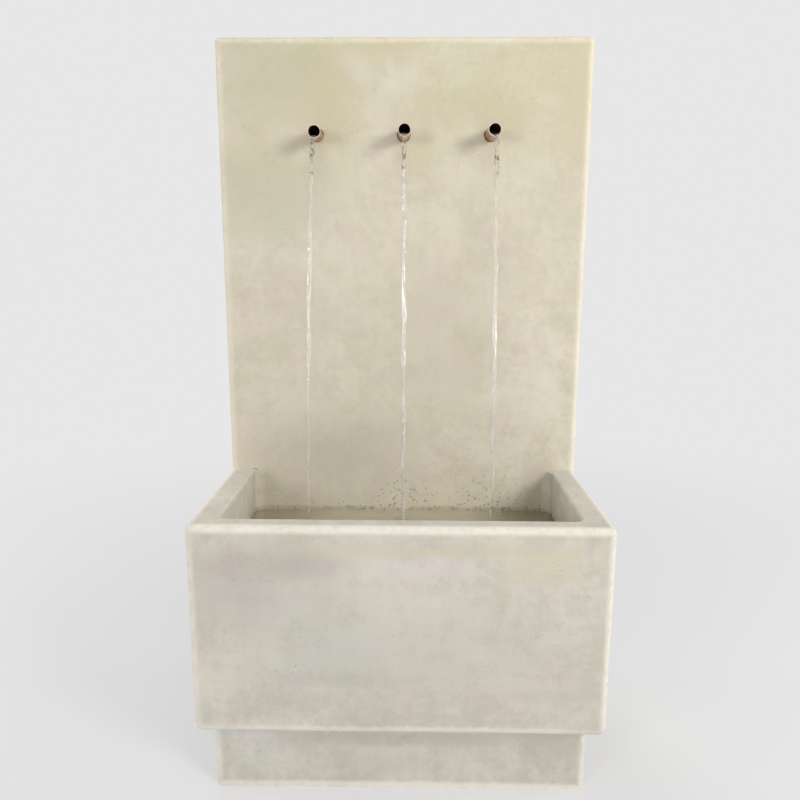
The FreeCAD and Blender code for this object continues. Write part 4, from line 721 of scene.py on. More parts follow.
class Workpiece:
    """One mesh on the bench: places are picked in code and the edit-mode tools work on them."""

    def __init__(self, name: str, add: Callable[..., set[str]],
                 span: Vector | Point = (1, 1, 1), **settings: Any) -> None:
        """Add a primitive, with nothing else selected, and put its place into its mesh.

        Args:
            name: the piece's name.
            add: the operator that adds the primitive.
            span: how far the primitive is stretched along each axis.
            settings: what the operator is given.
        """
        bpy.ops.object.select_all(action="DESELECT")
        add(**settings)
        self.obj = bpy.context.object
        self.obj.scale = span
        self.obj.name = self.obj.data.name = name
        bpy.ops.object.transform_apply(location=True, rotation=True, scale=True)

    @classmethod
    def block(cls, name: str, low: Point, high: Point) -> "Workpiece":
        """A block between two opposite corners."""
        return cls(name, bpy.ops.mesh.primitive_cube_add, Vector(high) - Vector(low), size=1,
                   location=(Vector(low) + Vector(high)) / 2)

    @classmethod
    def rod(cls, name: str, start: Point, end: Point, radius: float, sides: int) -> "Workpiece":
        """A round rod.

        Args:
            name: its name.
            start: the middle of one end.
            end: the middle of the other end.
            radius: its radius.
            sides: how many sides it has.

        Returns:
            The rod.
        """
        start, end = Vector(start), Vector(end)
        turn = (end - start).to_track_quat("Z", "Y").to_euler()
        return cls(name, bpy.ops.mesh.primitive_cylinder_add, vertices=sides, radius=radius,
                   depth=(end - start).length, location=(start + end) / 2, rotation=turn)

    @classmethod
    def sheet(cls, name: str, low: Point, high: Point, steps: tuple[int, int]) -> "Workpiece":
        """A level grid.

        Args:
            name: its name.
            low: the corner at the low end of x and y.
            high: the opposite corner.
            steps: how many faces there are along x and y.

        Returns:
            The grid.
        """
        low, high = Vector(low), Vector(high)
        return cls(name, bpy.ops.mesh.primitive_grid_add, (high.x - low.x, high.y - low.y, 1),
                   x_subdivisions=steps[0], y_subdivisions=steps[1], size=1,
                   location=(low + high) / 2)

    def focus(self) -> None:
        """Select this piece alone and make it the active one."""
        bpy.ops.object.select_all(action="DESELECT")
        self.obj.select_set(True)
        bpy.context.view_layer.objects.active = self.obj

    @contextmanager
    def editing(self) -> Iterator[bmesh.types.BMesh]:
        """Open the mesh in edit mode, picking edges, with nothing selected.

        Yields:
            The mesh under edit.
        """
        self.focus()
        bpy.ops.object.mode_set(mode="EDIT")
        bpy.ops.mesh.select_mode(type="EDGE")
        bpy.ops.mesh.select_all(action="DESELECT")
        yield bmesh.from_edit_mesh(self.obj.data)
        bpy.ops.object.mode_set(mode="OBJECT")

    def pick(self, mesh: bmesh.types.BMesh, wanted: Callable[[Vector, Vector], bool]) -> None:
        """Select the edges of the mesh under edit that pass a test.

        Args:
            mesh: the mesh under edit.
            wanted: the test on an edge's two ends.
        """
        for edge in mesh.edges:
            edge.select_set(wanted(edge.verts[0].co, edge.verts[1].co))
        bmesh.update_edit_mesh(self.obj.data)

    def bevel(self, width: float, segments: int,
              wanted: Callable[[Vector, Vector], bool]) -> "Workpiece":
        """Round some of the edges.

        Args:
            width: how far the rounding reaches from each edge.
            segments: how many faces go round it.
            wanted: the test on an edge's two ends.

        Returns:
            This piece.
        """
        with self.editing() as mesh:
            self.pick(mesh, wanted)
            bpy.ops.mesh.bevel(offset=width, segments=segments, affect="EDGES")
        return self

    def weather(self, pitch: float, *reliefs: Relief) -> "Workpiece":
        """Cut the whole mesh into a fine grid, so that it can take reliefs, and lay them on it.

        Args:
            pitch: how wide the grid's faces are.
            reliefs: the reliefs, one on top of another.

        Returns:
            This piece.
        """
        corners = [Vector(corner) for corner in self.obj.bound_box]
        with self.editing():
            for axis in range(3):
                normal = Vector([float(axis == other) for other in range(3)])
                low = min(corner[axis] for corner in corners)
                high = max(corner[axis] for corner in corners)
                count = max(1, round((high - low) / pitch))
                for step in range(1, count):
                    bpy.ops.mesh.select_all(action="SELECT")
                    bpy.ops.mesh.bisect(plane_co=normal * (low + (high - low) * step / count),
                                        plane_no=normal)
        for relief in reliefs:
            self.emboss(relief)
        return self

    def emboss(self, relief: Relief) -> None:
        """Lay one relief on the mesh.

        Args:
            relief: the relief.
        """
        texture = bpy.data.textures.new(f"{self.obj.name}_{relief.name}", "CLOUDS")
        texture.noise_scale = relief.size
        self.modify(relief.name, "DISPLACE", texture=texture, texture_coords="LOCAL",
                    strength=relief.depth, mid_level=0.5)

    def modify(self, name: str, kind: str, **settings: Any) -> None:
        """Put a modifier on the mesh and apply it.

        Args:
            name: the modifier's name.
            kind: its type.
            settings: its options.
        """
        modifier = self.obj.modifiers.new(name, kind)
        for option, choice in settings.items():
            setattr(modifier, option, choice)
        self.focus()
        bpy.ops.object.modifier_apply(modifier=modifier.name)

    def combine(self, other: "Workpiece", operation: str) -> "Workpiece":
        """Join this piece with another, or cut the other away from it.

        Args:
            other: the other piece, which is used up.
            operation: UNION or DIFFERENCE.

        Returns:
            This piece.
        """
        self.modify("combine", "BOOLEAN", object=other.obj, operation=operation, solver="EXACT")
        bpy.data.objects.remove(other.obj, do_unlink=True)
        return self

    def cut(self, *tools: "Workpiece") -> "Workpiece":
        """Cut away other pieces, which are used up.

        Args:
            tools: the other pieces.

        Returns:
            This piece.
        """
        for tool in tools:
            self.combine(tool, "DIFFERENCE")
        return self

    def shape(self, moved: Callable[[Vector], Vector]) -> "Workpiece":
        """Move every point.

        Args:
            moved: where a point goes.

        Returns:
            This piece.
        """
        for vertex in self.obj.data.vertices:
            vertex.co = moved(vertex.co.copy())
        self.obj.data.update()
        return self

    def smooth(self, degrees: float = 35) -> "Workpiece":
        """Shade the mesh smooth.

        Args:
            degrees: the angle from which an edge stays sharp.

        Returns:
            This piece.
        """
        self.focus()
        bpy.ops.object.shade_smooth_by_angle(angle=math.radians(degrees))
        return self

    def dress(self, finish: bpy.types.Material, slot: str | None, *nodes: str) -> None:
        """Give the finished piece its material and tie it to the frame.

        Args:
            finish: its material.
            slot: the material slot that the finish stands for; not used.
            nodes: the nodes of the frame that it stands for.
        """
        self.obj.data.materials.clear()
        self.obj.data.materials.append(finish)
        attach(self.obj, FOUNTAIN)
        if nodes:
            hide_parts(*nodes)
        self.obj.data.calc_loop_triangles()
        LOG.info("%s: %d triangles", self.obj.name, len(self.obj.data.loop_triangles))


def runs_along(axis: int) -> Callable[[Vector, Vector], bool]:
    """The test for edges of a block that run along an axis."""
    return lambda start, end: abs(start[axis] - end[axis]) > LAP


# Stonework


@dataclass
class BackPanel:
    """The tall slab, its tongue in the basin, and the recess for the pipework in its back."""

    edge_radius: float = 0.012
    tongue_half_width: float = 0.368
    tongue_back: float = 0.220
    tongue_bottom: float = 0.215
    recess_half_width: float = 0.250
    recess_bottom: float = 1.244
    recess_top: float = 1.451
    recess_floor: float = 0.186
    recess_corner: float = 0.015
    chase_half_width: float = 0.022
    chase_floor: float = 0.192
    chase_bottom: float = 0.413
    chase_lap: float = 0.005
    spout_hole: float = 0.016
    stub_hole: float = 0.0151
    stub_z: float = 0.438
    tie_hole: float = 0.00805
    tie_depth: float = 0.045
    tie_places: tuple[tuple[float, float], ...] = (
        (-0.33, 0.75), (0.33, 0.75), (-0.33, 1.53), (0.33, 1.53))
    pitch: float = 0.016
    reliefs: tuple[Relief, ...] = (
        Relief("casting", 0.22, 0.0012), Relief("rubbing", 0.045, 0.0005))

    def build(self, stone: bpy.types.Material) -> None:
        """Model and dress the panel.

        Args:
            stone: its finish.
        """
        slab = Workpiece.block("panel_casting", (-HALF_WIDTH, FACE_Y, RIM_Z),
                               (HALF_WIDTH, BACK_Y, TOP_Z))
        slab.bevel(self.edge_radius, 5, lambda start, end: max(start.z, end.z) > RIM_Z + TOUCH)
        tongue = Workpiece.block("tongue", (-self.tongue_half_width, FACE_Y, self.tongue_bottom),
                                 (self.tongue_half_width, self.tongue_back, RIM_Z + PAST))
        slab.combine(tongue, "UNION")
        slab.cut(self.recess(), self.chase(), *self.holes())
        slab.weather(self.pitch, *self.reliefs).smooth()
        slab.dress(stone, "panel_stone", "back_panel")

    def recess(self) -> Workpiece:
        """The cutter for the valves' recess.

        Returns:
            A block with rounded corners that reaches past the panel's back.
        """
        tool = Workpiece.block(
            "recess", (-self.recess_half_width, self.recess_floor, self.recess_bottom),
            (self.recess_half_width, BACK_Y + PAST, self.recess_top))
        return tool.bevel(self.recess_corner, 4, runs_along(1))

    def chase(self) -> Workpiece:
        """The cutter for the riser's chase.

        Returns:
            A block that reaches into the recess and past the panel's back.
        """
        return Workpiece.block(
            "chase", (-self.chase_half_width, self.chase_floor, self.chase_bottom),
            (self.chase_half_width, BACK_Y + PAST, self.recess_bottom + self.chase_lap))

    def holes(self) -> Iterator[Workpiece]:
        """The cutters for the round holes.

        Yields:
            The cutters for the spouts, the riser's stub and the wall ties.
        """
        for line in Line:
            yield Workpiece.rod("spout_hole", (line.value, FACE_Y - PAST, SPOUT_Z),
                                (line.value, self.recess_floor + LAP, SPOUT_Z),
                                self.spout_hole, 40)
        yield Workpiece.rod("stub_hole", (0, FACE_Y - PAST, self.stub_z),
                            (0, self.chase_floor + LAP, self.stub_z), self.stub_hole, 32)
        for x, z in self.tie_places:
            yield Workpiece.rod("tie_hole", (x, BACK_Y - self.tie_depth, z),
                                (x, BACK_Y + PAST, z), self.tie_hole, 24)


@dataclass
class Basin:
    """The trough under the panel."""

    underside: float = 0.152
    edge_radius: float = 0.015
    inner_half_width: float = 0.373
    inner_front: float = -0.206
    inner_back: float = 0.222
    floor_z: float = 0.212
    over_rim: float = 0.05
    corner_radius: float = 0.020
    cove_radius: float = 0.015
    rim_radius: float = 0.006
    drain_x: float = 0.220
    drain_hole: float = 0.026
    pitch: float = 0.016
    reliefs: tuple[Relief, ...] = (
        Relief("casting", 0.2, 0.0014), Relief("rubbing", 0.04, 0.0005))

    def build(self, stone: bpy.types.Material) -> None:
        """Model and dress the basin.

        Args:
            stone: its finish.
        """
        block = Workpiece.block("basin_casting", (-HALF_WIDTH, -BACK_Y, self.underside),
                                (HALF_WIDTH, BACK_Y, RIM_Z))
        block.bevel(self.edge_radius, 5, lambda start, end: not (
            min(start.y, end.y) > BACK_Y - TOUCH and min(start.z, end.z) > RIM_Z - TOUCH))
        hollow = Workpiece.block("hollow", (-self.inner_half_width, self.inner_front, self.floor_z),
                                 (self.inner_half_width, self.inner_back, RIM_Z + self.over_rim))
        hollow.bevel(self.corner_radius, 5, runs_along(2))
        hollow.bevel(self.cove_radius, 4,
                     lambda start, end: max(start.z, end.z) < self.floor_z + TOUCH)
        block.cut(hollow)
        block.bevel(self.rim_radius, 4,
                    lambda start, end: self.on_inner_rim(start) and self.on_inner_rim(end))
        block.cut(Workpiece.rod("drain_hole", (self.drain_x, 0, self.underside - LAP),
                                (self.drain_x, 0, self.floor_z + LAP), self.drain_hole, 40))
        block.weather(self.pitch, *self.reliefs).smooth()
        block.dress(stone, "basin_stone", "basin")

    def on_inner_rim(self, point: Vector) -> bool:
        """Whether a point is on the hollow's top edge.

        Args:
            point: the point.

        Returns:
            True if it is.
        """
        within_x = abs(point.x) < self.inner_half_width + TOUCH
        within_y = self.inner_front - TOUCH < point.y < self.inner_back + TOUCH
        return within_x and within_y and abs(point.z - RIM_Z) < TOUCH


@dataclass
class Coves:
    """The mortar floated into the corners where the panel meets the basin's side walls."""

    corner_x: float = 0.373
    leg: float = 0.022
    keyed: float = 0.003
    feather: float = 0.0015
    bottom: float = 0.227
    top: float = 0.6085
    pitch: float = 0.006
    reliefs: tuple[Relief, ...] = (
        Relief("trowelling", 0.03, 0.0022), Relief("grit", 0.009, 0.0007))

    def build(self, mortar: bpy.types.Material) -> None:
        """Model and dress both coves.

        Args:
            mortar: their finish.
        """
        for name, side in (("left", -1), ("right", 1)):
            inner, outer = side * (self.corner_x - self.leg), side * (self.corner_x + self.keyed)
            front = FACE_Y - self.leg
            cove = Workpiece.block(f"mortar_cove_{name}", (min(inner, outer), front, self.bottom),
                                   (max(inner, outer), FACE_Y + self.keyed, self.top))
            cove.cut(Workpiece.rod("float", (inner, front, self.bottom - LAP),
                                   (inner, front, self.top + LAP), self.leg - self.feather, 48))
            cove.weather(self.pitch, *self.reliefs).smooth()
            cove.dress(mortar, "mortar", "corner_coves")


@dataclass
class Plinth:
    """The open frame under the basin, with an arched notch in its back."""

    half_width: float = 0.400
    front: float = -0.222
    height: float = 0.149
    wall: float = 0.070
    edge_radius: float = 0.013
    inner_radius: float = 0.020
    notch_half_width: float = 0.030
    notch_height: float = 0.045
    pitch: float = 0.016
    reliefs: tuple[Relief, ...] = (
        Relief("casting", 0.2, 0.0012), Relief("rubbing", 0.04, 0.0005))

    def build(self, stone: bpy.types.Material) -> None:
        """Model and dress the plinth.

        Args:
            stone: its finish.
        """
        block = Workpiece.block("plinth_casting", (-self.half_width, self.front, 0),
                                (self.half_width, BACK_Y, self.height))
        block.bevel(self.edge_radius, 5, lambda start, end: max(start.z, end.z) > TOUCH)
        inner_half_width, inner_back = self.half_width - self.wall, BACK_Y - self.wall
        hollow = Workpiece.block("hollow", (-inner_half_width, self.front + self.wall, -PAST),
                                 (inner_half_width, inner_back, self.height + PAST))
        hollow.bevel(self.inner_radius, 5, runs_along(2))
        spring = self.notch_height - self.notch_half_width
        arch = Workpiece.rod("arch", (0, inner_back - PAST, spring), (0, BACK_Y + PAST, spring),
                             self.notch_half_width, 40)
        legs = Workpiece.block("legs", (-self.notch_half_width, inner_back - PAST, -PAST),
                               (self.notch_half_width, BACK_Y + PAST, spring))
        block.cut(hollow, arch, legs)
        block.weather(self.pitch, *self.reliefs).smooth()
        block.dress(stone, "plinth_stone", "plinth")


# Spouts and water

SPOUT_REACH = 0.079
STRAY = {Line.LEFT: (0.0032, -0.0045), Line.CENTER: (0.0024, -0.0012),
         Line.RIGHT: (0.0014, -0.0004)}


def lean(line: Line, y: float) -> Vector:
    """How far a spout set by hand has strayed from square: not at the wall, and most at the lip.

    Args:
        line: which spout it is.
        y: the place along the spout.

    Returns:
        The sideways and downward offset.
    """
    share = min(1.0, max(0.0, (FACE_Y - y) / SPOUT_REACH))
    across, down = STRAY[line]
    return Vector((across * share, 0, down * share))


@dataclass
class Spouts:
    """The three copper tubes, cut square and deburred at the lip, where hard water left scale."""

    radius: float = 0.0143
    inner_end_y: float = 0.196
    sides: int = 64
    lip_radius: float = 0.0003
    crust_length: float = 0.0022
    crust_outside: float = 0.0006
    crust_inside: float = 0.0004
    crust_evenness: float = 0.75
    crust_lumps: int = 3
    crust_turn: float = 9.0

    def build(self, copper: bpy.types.Material) -> None:
        """Model the spouts and dress them in copper."""
        for line in Line:
            self.tube(line).dress(copper, "copper", f"spout_{line.label}")

    def tube(self, line: Line) -> Workpiece:
        """One spout.

        Args:
            line: which of the three it is.

        Returns:
            The tube, with its lip rounded over.
        """
        x, end = line.value, self.inner_end_y
        tube = Workpiece.rod(f"copper_spout_{line.label}", (x, LIP_Y, SPOUT_Z), (x, end, SPOUT_Z),
                             self.radius, self.sides)
        tube.cut(Workpiece.rod("bore", (x, LIP_Y - LAP, SPOUT_Z), (x, end + LAP, SPOUT_Z),
                               BORE, self.sides))
        tube.bevel(self.lip_radius, 2, lambda start, end: max(start.y, end.y) < LIP_Y + TOUCH)
        with tube.editing():
            bpy.ops.mesh.select_all(action="SELECT")
            bpy.ops.mesh.bisect(plane_co=(0, LIP_Y + self.crust_length, 0), plane_no=(0, 1, 0))
        tube.shape(lambda point: self.crusted(line, point))
        return tube.shape(lambda point: point + lean(line, point.y)).smooth(50)

    def crusted(self, line: Line, point: Vector) -> Vector:
        """Thicken the wall at the lip by the scale that hard water leaves there.

        Args:
            line: which spout it is.
            point: a point of the plain tube.

        Returns:
            The point on the crust.
        """
        share = max(0.0, 1 - (point.y - LIP_Y) / self.crust_length)
        across, up = point.x - line.value, point.z - SPOUT_Z
        reach = math.hypot(across, up)
        grown = self.crust_outside if reach > (self.radius + BORE) / 2 else -self.crust_inside
        lumps = math.sin(self.crust_lumps * math.atan2(up, across) + self.crust_turn * line.value)
        uneven = self.crust_evenness + (1 - self.crust_evenness) * lumps
        factor = 1 + share * grown * uneven / reach
        return Vector((line.value + across * factor, point.y, SPOUT_Z + up * factor))


@dataclass
class Pool:
    """The water's surface in the basin, ringed with ripples where the streams fall."""

    half_width: float = 0.3735
    front: float = -0.2065
    back: float = 0.1525
    steps: tuple[int, int] = (300, 144)
    swell: Relief = Relief("swell", 0.06, 0.0012)
    falls_y: float = -0.112
    falls_spread: float = 1.01
    wave_height: float = 0.0022
    wave_length: float = 0.030
    wave_reach: float = 0.07
    dent_depth: float = 0.004
    dent_radius: float = 0.008

    def build(self, water: bpy.types.Material) -> None:
        """Model and dress the water's surface.

        Args:
            water: its finish.
        """
        pool = Workpiece.sheet("water_surface", (-self.half_width, self.front, WATER_Z),
                               (self.half_width, self.back, WATER_Z), self.steps)
        pool.emboss(self.swell)
        pool.shape(self.rippled).smooth(180)
        pool.dress(water, None)

    def rippled(self, point: Vector) -> Vector:
        """Raise a point of the surface by the rings round each fall.

        Args:
            point: the point on the swell.

        Returns:
            The point on the rings.
        """
        lift = 0.0
        for line in Line:
            away = math.hypot(point.x - line.value * self.falls_spread, point.y - self.falls_y)
            ring = math.cos(away / self.wave_length * math.tau)
            lift += (self.wave_height * ring * math.exp(-away / self.wave_reach)
                     - self.dent_depth * math.exp(-(away / self.dent_radius) ** 2))
        return Vector((point.x, point.y, point.z + lift))


@dataclass(frozen=True)
class Section:
    """A cut through a stream: its middle, the way that its thickness lies, and its half sizes."""

    middle: Vector
    thickness_way: Vector
    half_width: float
    half_thickness: float


@dataclass
class Streams:
    """The water that lies in each spout, pours over its lip and falls into the basin.

    Each is drawn from a straight rod. A stream gathers from the flat water in the spout to a round
    neck, swings a little, swells and narrows like a chain, and grows ragged further down.
    """

    inside_y: float = 0.185
    speed: float = 0.43
    gravity: float = 9.81
    rings: int = 420
    sides: int = 14
    lying_share: float = 0.12
    crowding: float = 0.62
    below_water: float = 0.004
    skin_gap: float = 0.00005
    neck: float = 0.0050
    neck_drop: float = 0.25
    neck_power: float = -0.22
    gather_drop: float = 0.006
    swing: float = 0.0011
    swing_turns: float = 31.0
    swing_drop: float = 0.2
    chain_link: float = 0.021
    chain_drop: float = 0.16
    chain_size: float = 0.3
    ragged_turns: tuple[float, float] = (97.0, 41.0)
    ragged_drop: float = 0.15
    ragged_sizes: tuple[float, float] = (0.2, 0.14)
    phases: dict[Line, float] = field(default_factory=lambda: {
        Line.LEFT: 0.0, Line.CENTER: 2.1, Line.RIGHT: 4.4})
    drifts: dict[Line, float] = field(default_factory=lambda: {
        Line.LEFT: -0.005, Line.CENTER: 0.004, Line.RIGHT: -0.006})
    half_depths: dict[Line, float] = field(default_factory=lambda: {
        Line.LEFT: 0.0034, Line.CENTER: 0.0052, Line.RIGHT: 0.0046})

    def build(self, water: bpy.types.Material) -> None:
        """Model and dress the streams.

        Args:
            water: their finish.
        """
        for line in Line:
            rod = Workpiece.rod(f"water_stream_{line.label}", (0, 0, 0), (0, 0, 1), 1.0, self.sides)
            with rod.editing() as mesh:
                rod.pick(mesh, runs_along(2))
                bpy.ops.mesh.subdivide(number_cuts=self.rings)
            rod.shape(lambda point: self.drawn(line, point)).smooth(180)
            rod.dress(water, None)

    def drawn(self, line: Line, point: Vector) -> Vector:
        """Where a point of the straight rod goes.

        Args:
            line: which stream it is.
            point: the point, with its z as the share of the way along.

        Returns:
            The point on the stream's skin.
        """
        if point.z < self.lying_share:
            section = self.lying(line, point.z / self.lying_share)
        else:
            section = self.falling(line, (point.z - self.lying_share) / (1 - self.lying_share))
        skin = (section.middle + Vector((1, 0, 0)) * point.x * section.half_width
                + section.thickness_way * point.y * section.half_thickness)
        return self.kept_in_bore(line, skin) + lean(line, max(skin.y, LIP_Y))

    def below_axis(self, line: Line) -> float:
        """How far the middle of the water in a spout lies under the spout's axis."""
        return BORE - self.half_depths[line]

    def lying(self, line: Line, share: float) -> Section:
        """The water that lies in a spout.

        Args:
            line: which stream it is.
            share: how far along the spout, from 0 at its inner end to 1 at the lip.

        Returns:
            The cut through the water there.
        """
        level = self.below_axis(line)
        y = self.inside_y + (LIP_Y - self.inside_y) * share
        return Section(Vector((line.value, y, SPOUT_Z - level)), Vector((0, 0, 1)),
                       math.sqrt(BORE ** 2 - level ** 2), self.half_depths[line])

    def falling(self, line: Line, share: float) -> Section:
        """The water that falls.

        Args:
            line: which stream it is.
            share: how far down, from 0 at the lip to 1 in the pool.

        Returns:
            The cut through the water there.
        """
        at_lip, phase, level = self.lying(line, 1.0), self.phases[line], self.below_axis(line)
        whole = math.sqrt(2 * (SPOUT_Z - level - WATER_Z + self.below_water) / self.gravity)
        time = whole * share ** self.crowding
        drop = self.gravity * time * time / 2
        velocity = Vector((0, -self.speed, -self.gravity * time)).normalized()
        drift = self.drifts[line] * drop / (SPOUT_Z - WATER_Z)
        swing = (self.swing * math.sin(drop * self.swing_turns + phase)
                 * min(1.0, drop / self.swing_drop))
        neck = self.neck * (1 + drop / self.neck_drop) ** self.neck_power
        chain = self.chain_size * (math.cos(drop / self.chain_link * math.pi + 0.6 * phase)
                                   * math.exp(-drop / self.chain_drop))
        fast, slow = self.ragged_turns
        ragged = (math.sin(drop * fast + phase) * math.sin(drop * slow + 2 * phase)
                  * min(1.0, drop / self.ragged_drop))
        rag_wide, rag_thick = (size * ragged for size in self.ragged_sizes)
        gather = math.exp(-drop / self.gather_drop)
        return Section(
            Vector((line.value + drift + swing, LIP_Y - self.speed * time, SPOUT_Z - level - drop)),
            Vector((0, -velocity.z, velocity.y)),
            at_lip.half_width * gather + neck * (1 - gather) * (1 + chain + rag_wide),
            at_lip.half_thickness * gather + neck * (1 - gather) * (1 - chain + rag_thick))

    def kept_in_bore(self, line: Line, skin: Vector) -> Vector:
        """Pull a point that would sink into a tube's wall back to its bore.

        Args:
            line: which stream it is.
            skin: a point on the stream's skin.

        Returns:
            The point, at most as far from the tube's axis as its bore.
        """
        across, up = skin.x - line.value, skin.z - SPOUT_Z
        reach, limit = math.hypot(across, up), BORE - self.skin_gap
        if skin.y <= LIP_Y + TOUCH or reach <= limit:
            return skin
        shrink = limit / reach
        return Vector((line.value + across * shrink, skin.y, SPOUT_Z + up * shrink))


# Pieces that keep the frame's mesh


def of_each_line(*pieces: str) -> tuple[str, ...]:
    """The nodes of pieces that each line of pipework has one of."""
    return tuple(f"{piece}_{line.label}" for piece in pieces for line in Line)


class Finish(Enum):
    """The finishes of the pieces that keep their mesh, each with the nodes that take it."""

    RUBBER = Moulding("black_rubber", (0.035, 0.035, 0.036), (0.12, 0.12, 0.12), rough=0.62), (
        "setting_pads", "tongue_seat_strip", "drain_gasket", "drain_stopper", "stub_seal",
        "volute_seal", "shaft_bushes", "suction_feet", "cable_gland")
    ELBOW_RUBBER = Moulding("elbow_rubber", (0.042, 0.043, 0.045), (0.14, 0.14, 0.14), rough=0.42,
                            grain=0.00005), ("rubber_elbow",)
    SEALANT = Moulding("cured_sealant", (0.42, 0.395, 0.34), (0.5, 0.48, 0.42), rough=0.55,
                       grain=0.0002), ("spout_seals",)
    COPPER = Metal("aged_copper", (0.63, 0.345, 0.205), (0.22, 0.115, 0.065), tarnish_share=0.85,
                   grain=(1, 40, 1), rough=0.27, bloom=(0.30, 0.47, 0.38)), (
        "spout_elbows", "manifold_cross", "manifold_elbows", "manifold_tubes", "valve_tails",
        "riser_pipe", "riser_elbow", "riser_stub")
    BRASS = Metal("machined_brass", (0.78, 0.60, 0.29), (0.42, 0.29, 0.12), tarnish_share=0.35,
                  grain=(1, 1, 30), rough=0.24), (
        *of_each_line("valve_body", "valve_ball", "valve_stem"), "valve_nuts", "gland_nuts")
    STEEL = Metal("turned_stainless", (0.66, 0.65, 0.63), (0.42, 0.41, 0.40), tarnish_share=0.3,
                  grain=(30, 1, 30), rough=0.22), (
        "locating_dowels", "anchor_sockets", "clip_screws", "pump_screws", "elbow_clamps",
        *of_each_line("lever_nut"))
    ENAMEL = Moulding("lever_enamel", (0.055, 0.13, 0.27), (0.35, 0.33, 0.3), rough=0.3,
                      grain=0.00006, dusting=0.12, coat=0.6), of_each_line("valve_lever")
    SEAT_PLASTIC = Moulding("seat_plastic", (0.80, 0.80, 0.77), (0.9, 0.9, 0.88), rough=0.4), (
        "valve_seats",)
    PUMP_PLASTIC = Moulding("pump_plastic", (0.028, 0.031, 0.034), (0.11, 0.11, 0.115), rough=0.45,
                            grain=0.0001, dusting=0.3), (
        "pump_housing", "volute", "intake_cover", "flow_dial", "outlet_nozzle")
    ROTOR_PLASTIC = Moulding("rotor_plastic", (0.62, 0.61, 0.56), (0.75, 0.74, 0.7), rough=0.45), (
        "impeller",)
    MAGNET = Moulding("ferrite_magnet", (0.05, 0.05, 0.054), (0.16, 0.16, 0.17), rough=0.5,
                      grain=0.00015, dusting=0.1), ("rotor_magnet",)
    CERAMIC = Moulding("shaft_ceramic", (0.82, 0.81, 0.76), (0.7, 0.69, 0.65), rough=0.16,
                       grain=0.00002, dusting=0.0), ("rotor_shaft",)
    DRAIN_PLASTIC = Moulding("drain_plastic", (0.10, 0.10, 0.105), (0.25, 0.25, 0.25), rough=0.5), (
        "drain_sleeve", "drain_locknut")
    CLIP_PLASTIC = Moulding("clip_plastic", (0.66, 0.66, 0.62), (0.8, 0.8, 0.78), rough=0.48), (
        "pipe_clips",)

    def __init__(self, look: Metal | Moulding, nodes: tuple[str, ...]) -> None:
        """Keep how the finish looks, and which nodes take it, under names of their own."""
        self.look = look
        self.nodes = nodes


@dataclass
class Fittings:
    """Every piece that keeps its mesh."""

    nodes: Mapping[str, bpy.types.Object]

    def build(self) -> None:
        """Give each node its finish."""
        for finish in Finish:
            material = finish.look.build()
            for name in finish.nodes:
                for slot in self.nodes[name].material_slots:
                    slot.material = material
            LOG.info("%s: %s", material.name, ", ".join(finish.nodes))


# Studio


@dataclass(frozen=True)
class Softbox:
    """A square lamp that faces the middle of the fountain."""

    name: str
    turn: float
    rise: float
    distance: float
    size: float
    watts: float
    colour: Colour
    target: Point = (0.0, 0.1, 0.9)

    def build(self) -> None:
        """Set the lamp up."""
        data = bpy.data.lights.new(self.name, "AREA")
        data.shape = "SQUARE"
        data.size = self.size
        data.energy = self.watts
        data.color = self.colour
        lamp = bpy.data.objects.new(self.name, data)
        bpy.context.scene.collection.objects.link(lamp)
        turn, rise = math.radians(self.turn), math.radians(self.rise)
        way = Vector((math.sin(turn) * math.cos(rise), -math.cos(turn) * math.cos(rise),
                      math.sin(rise)))
        lamp.location = Vector(self.target) + way * self.distance
        lamp.rotation_euler = way.to_track_quat("Z", "Y").to_euler()


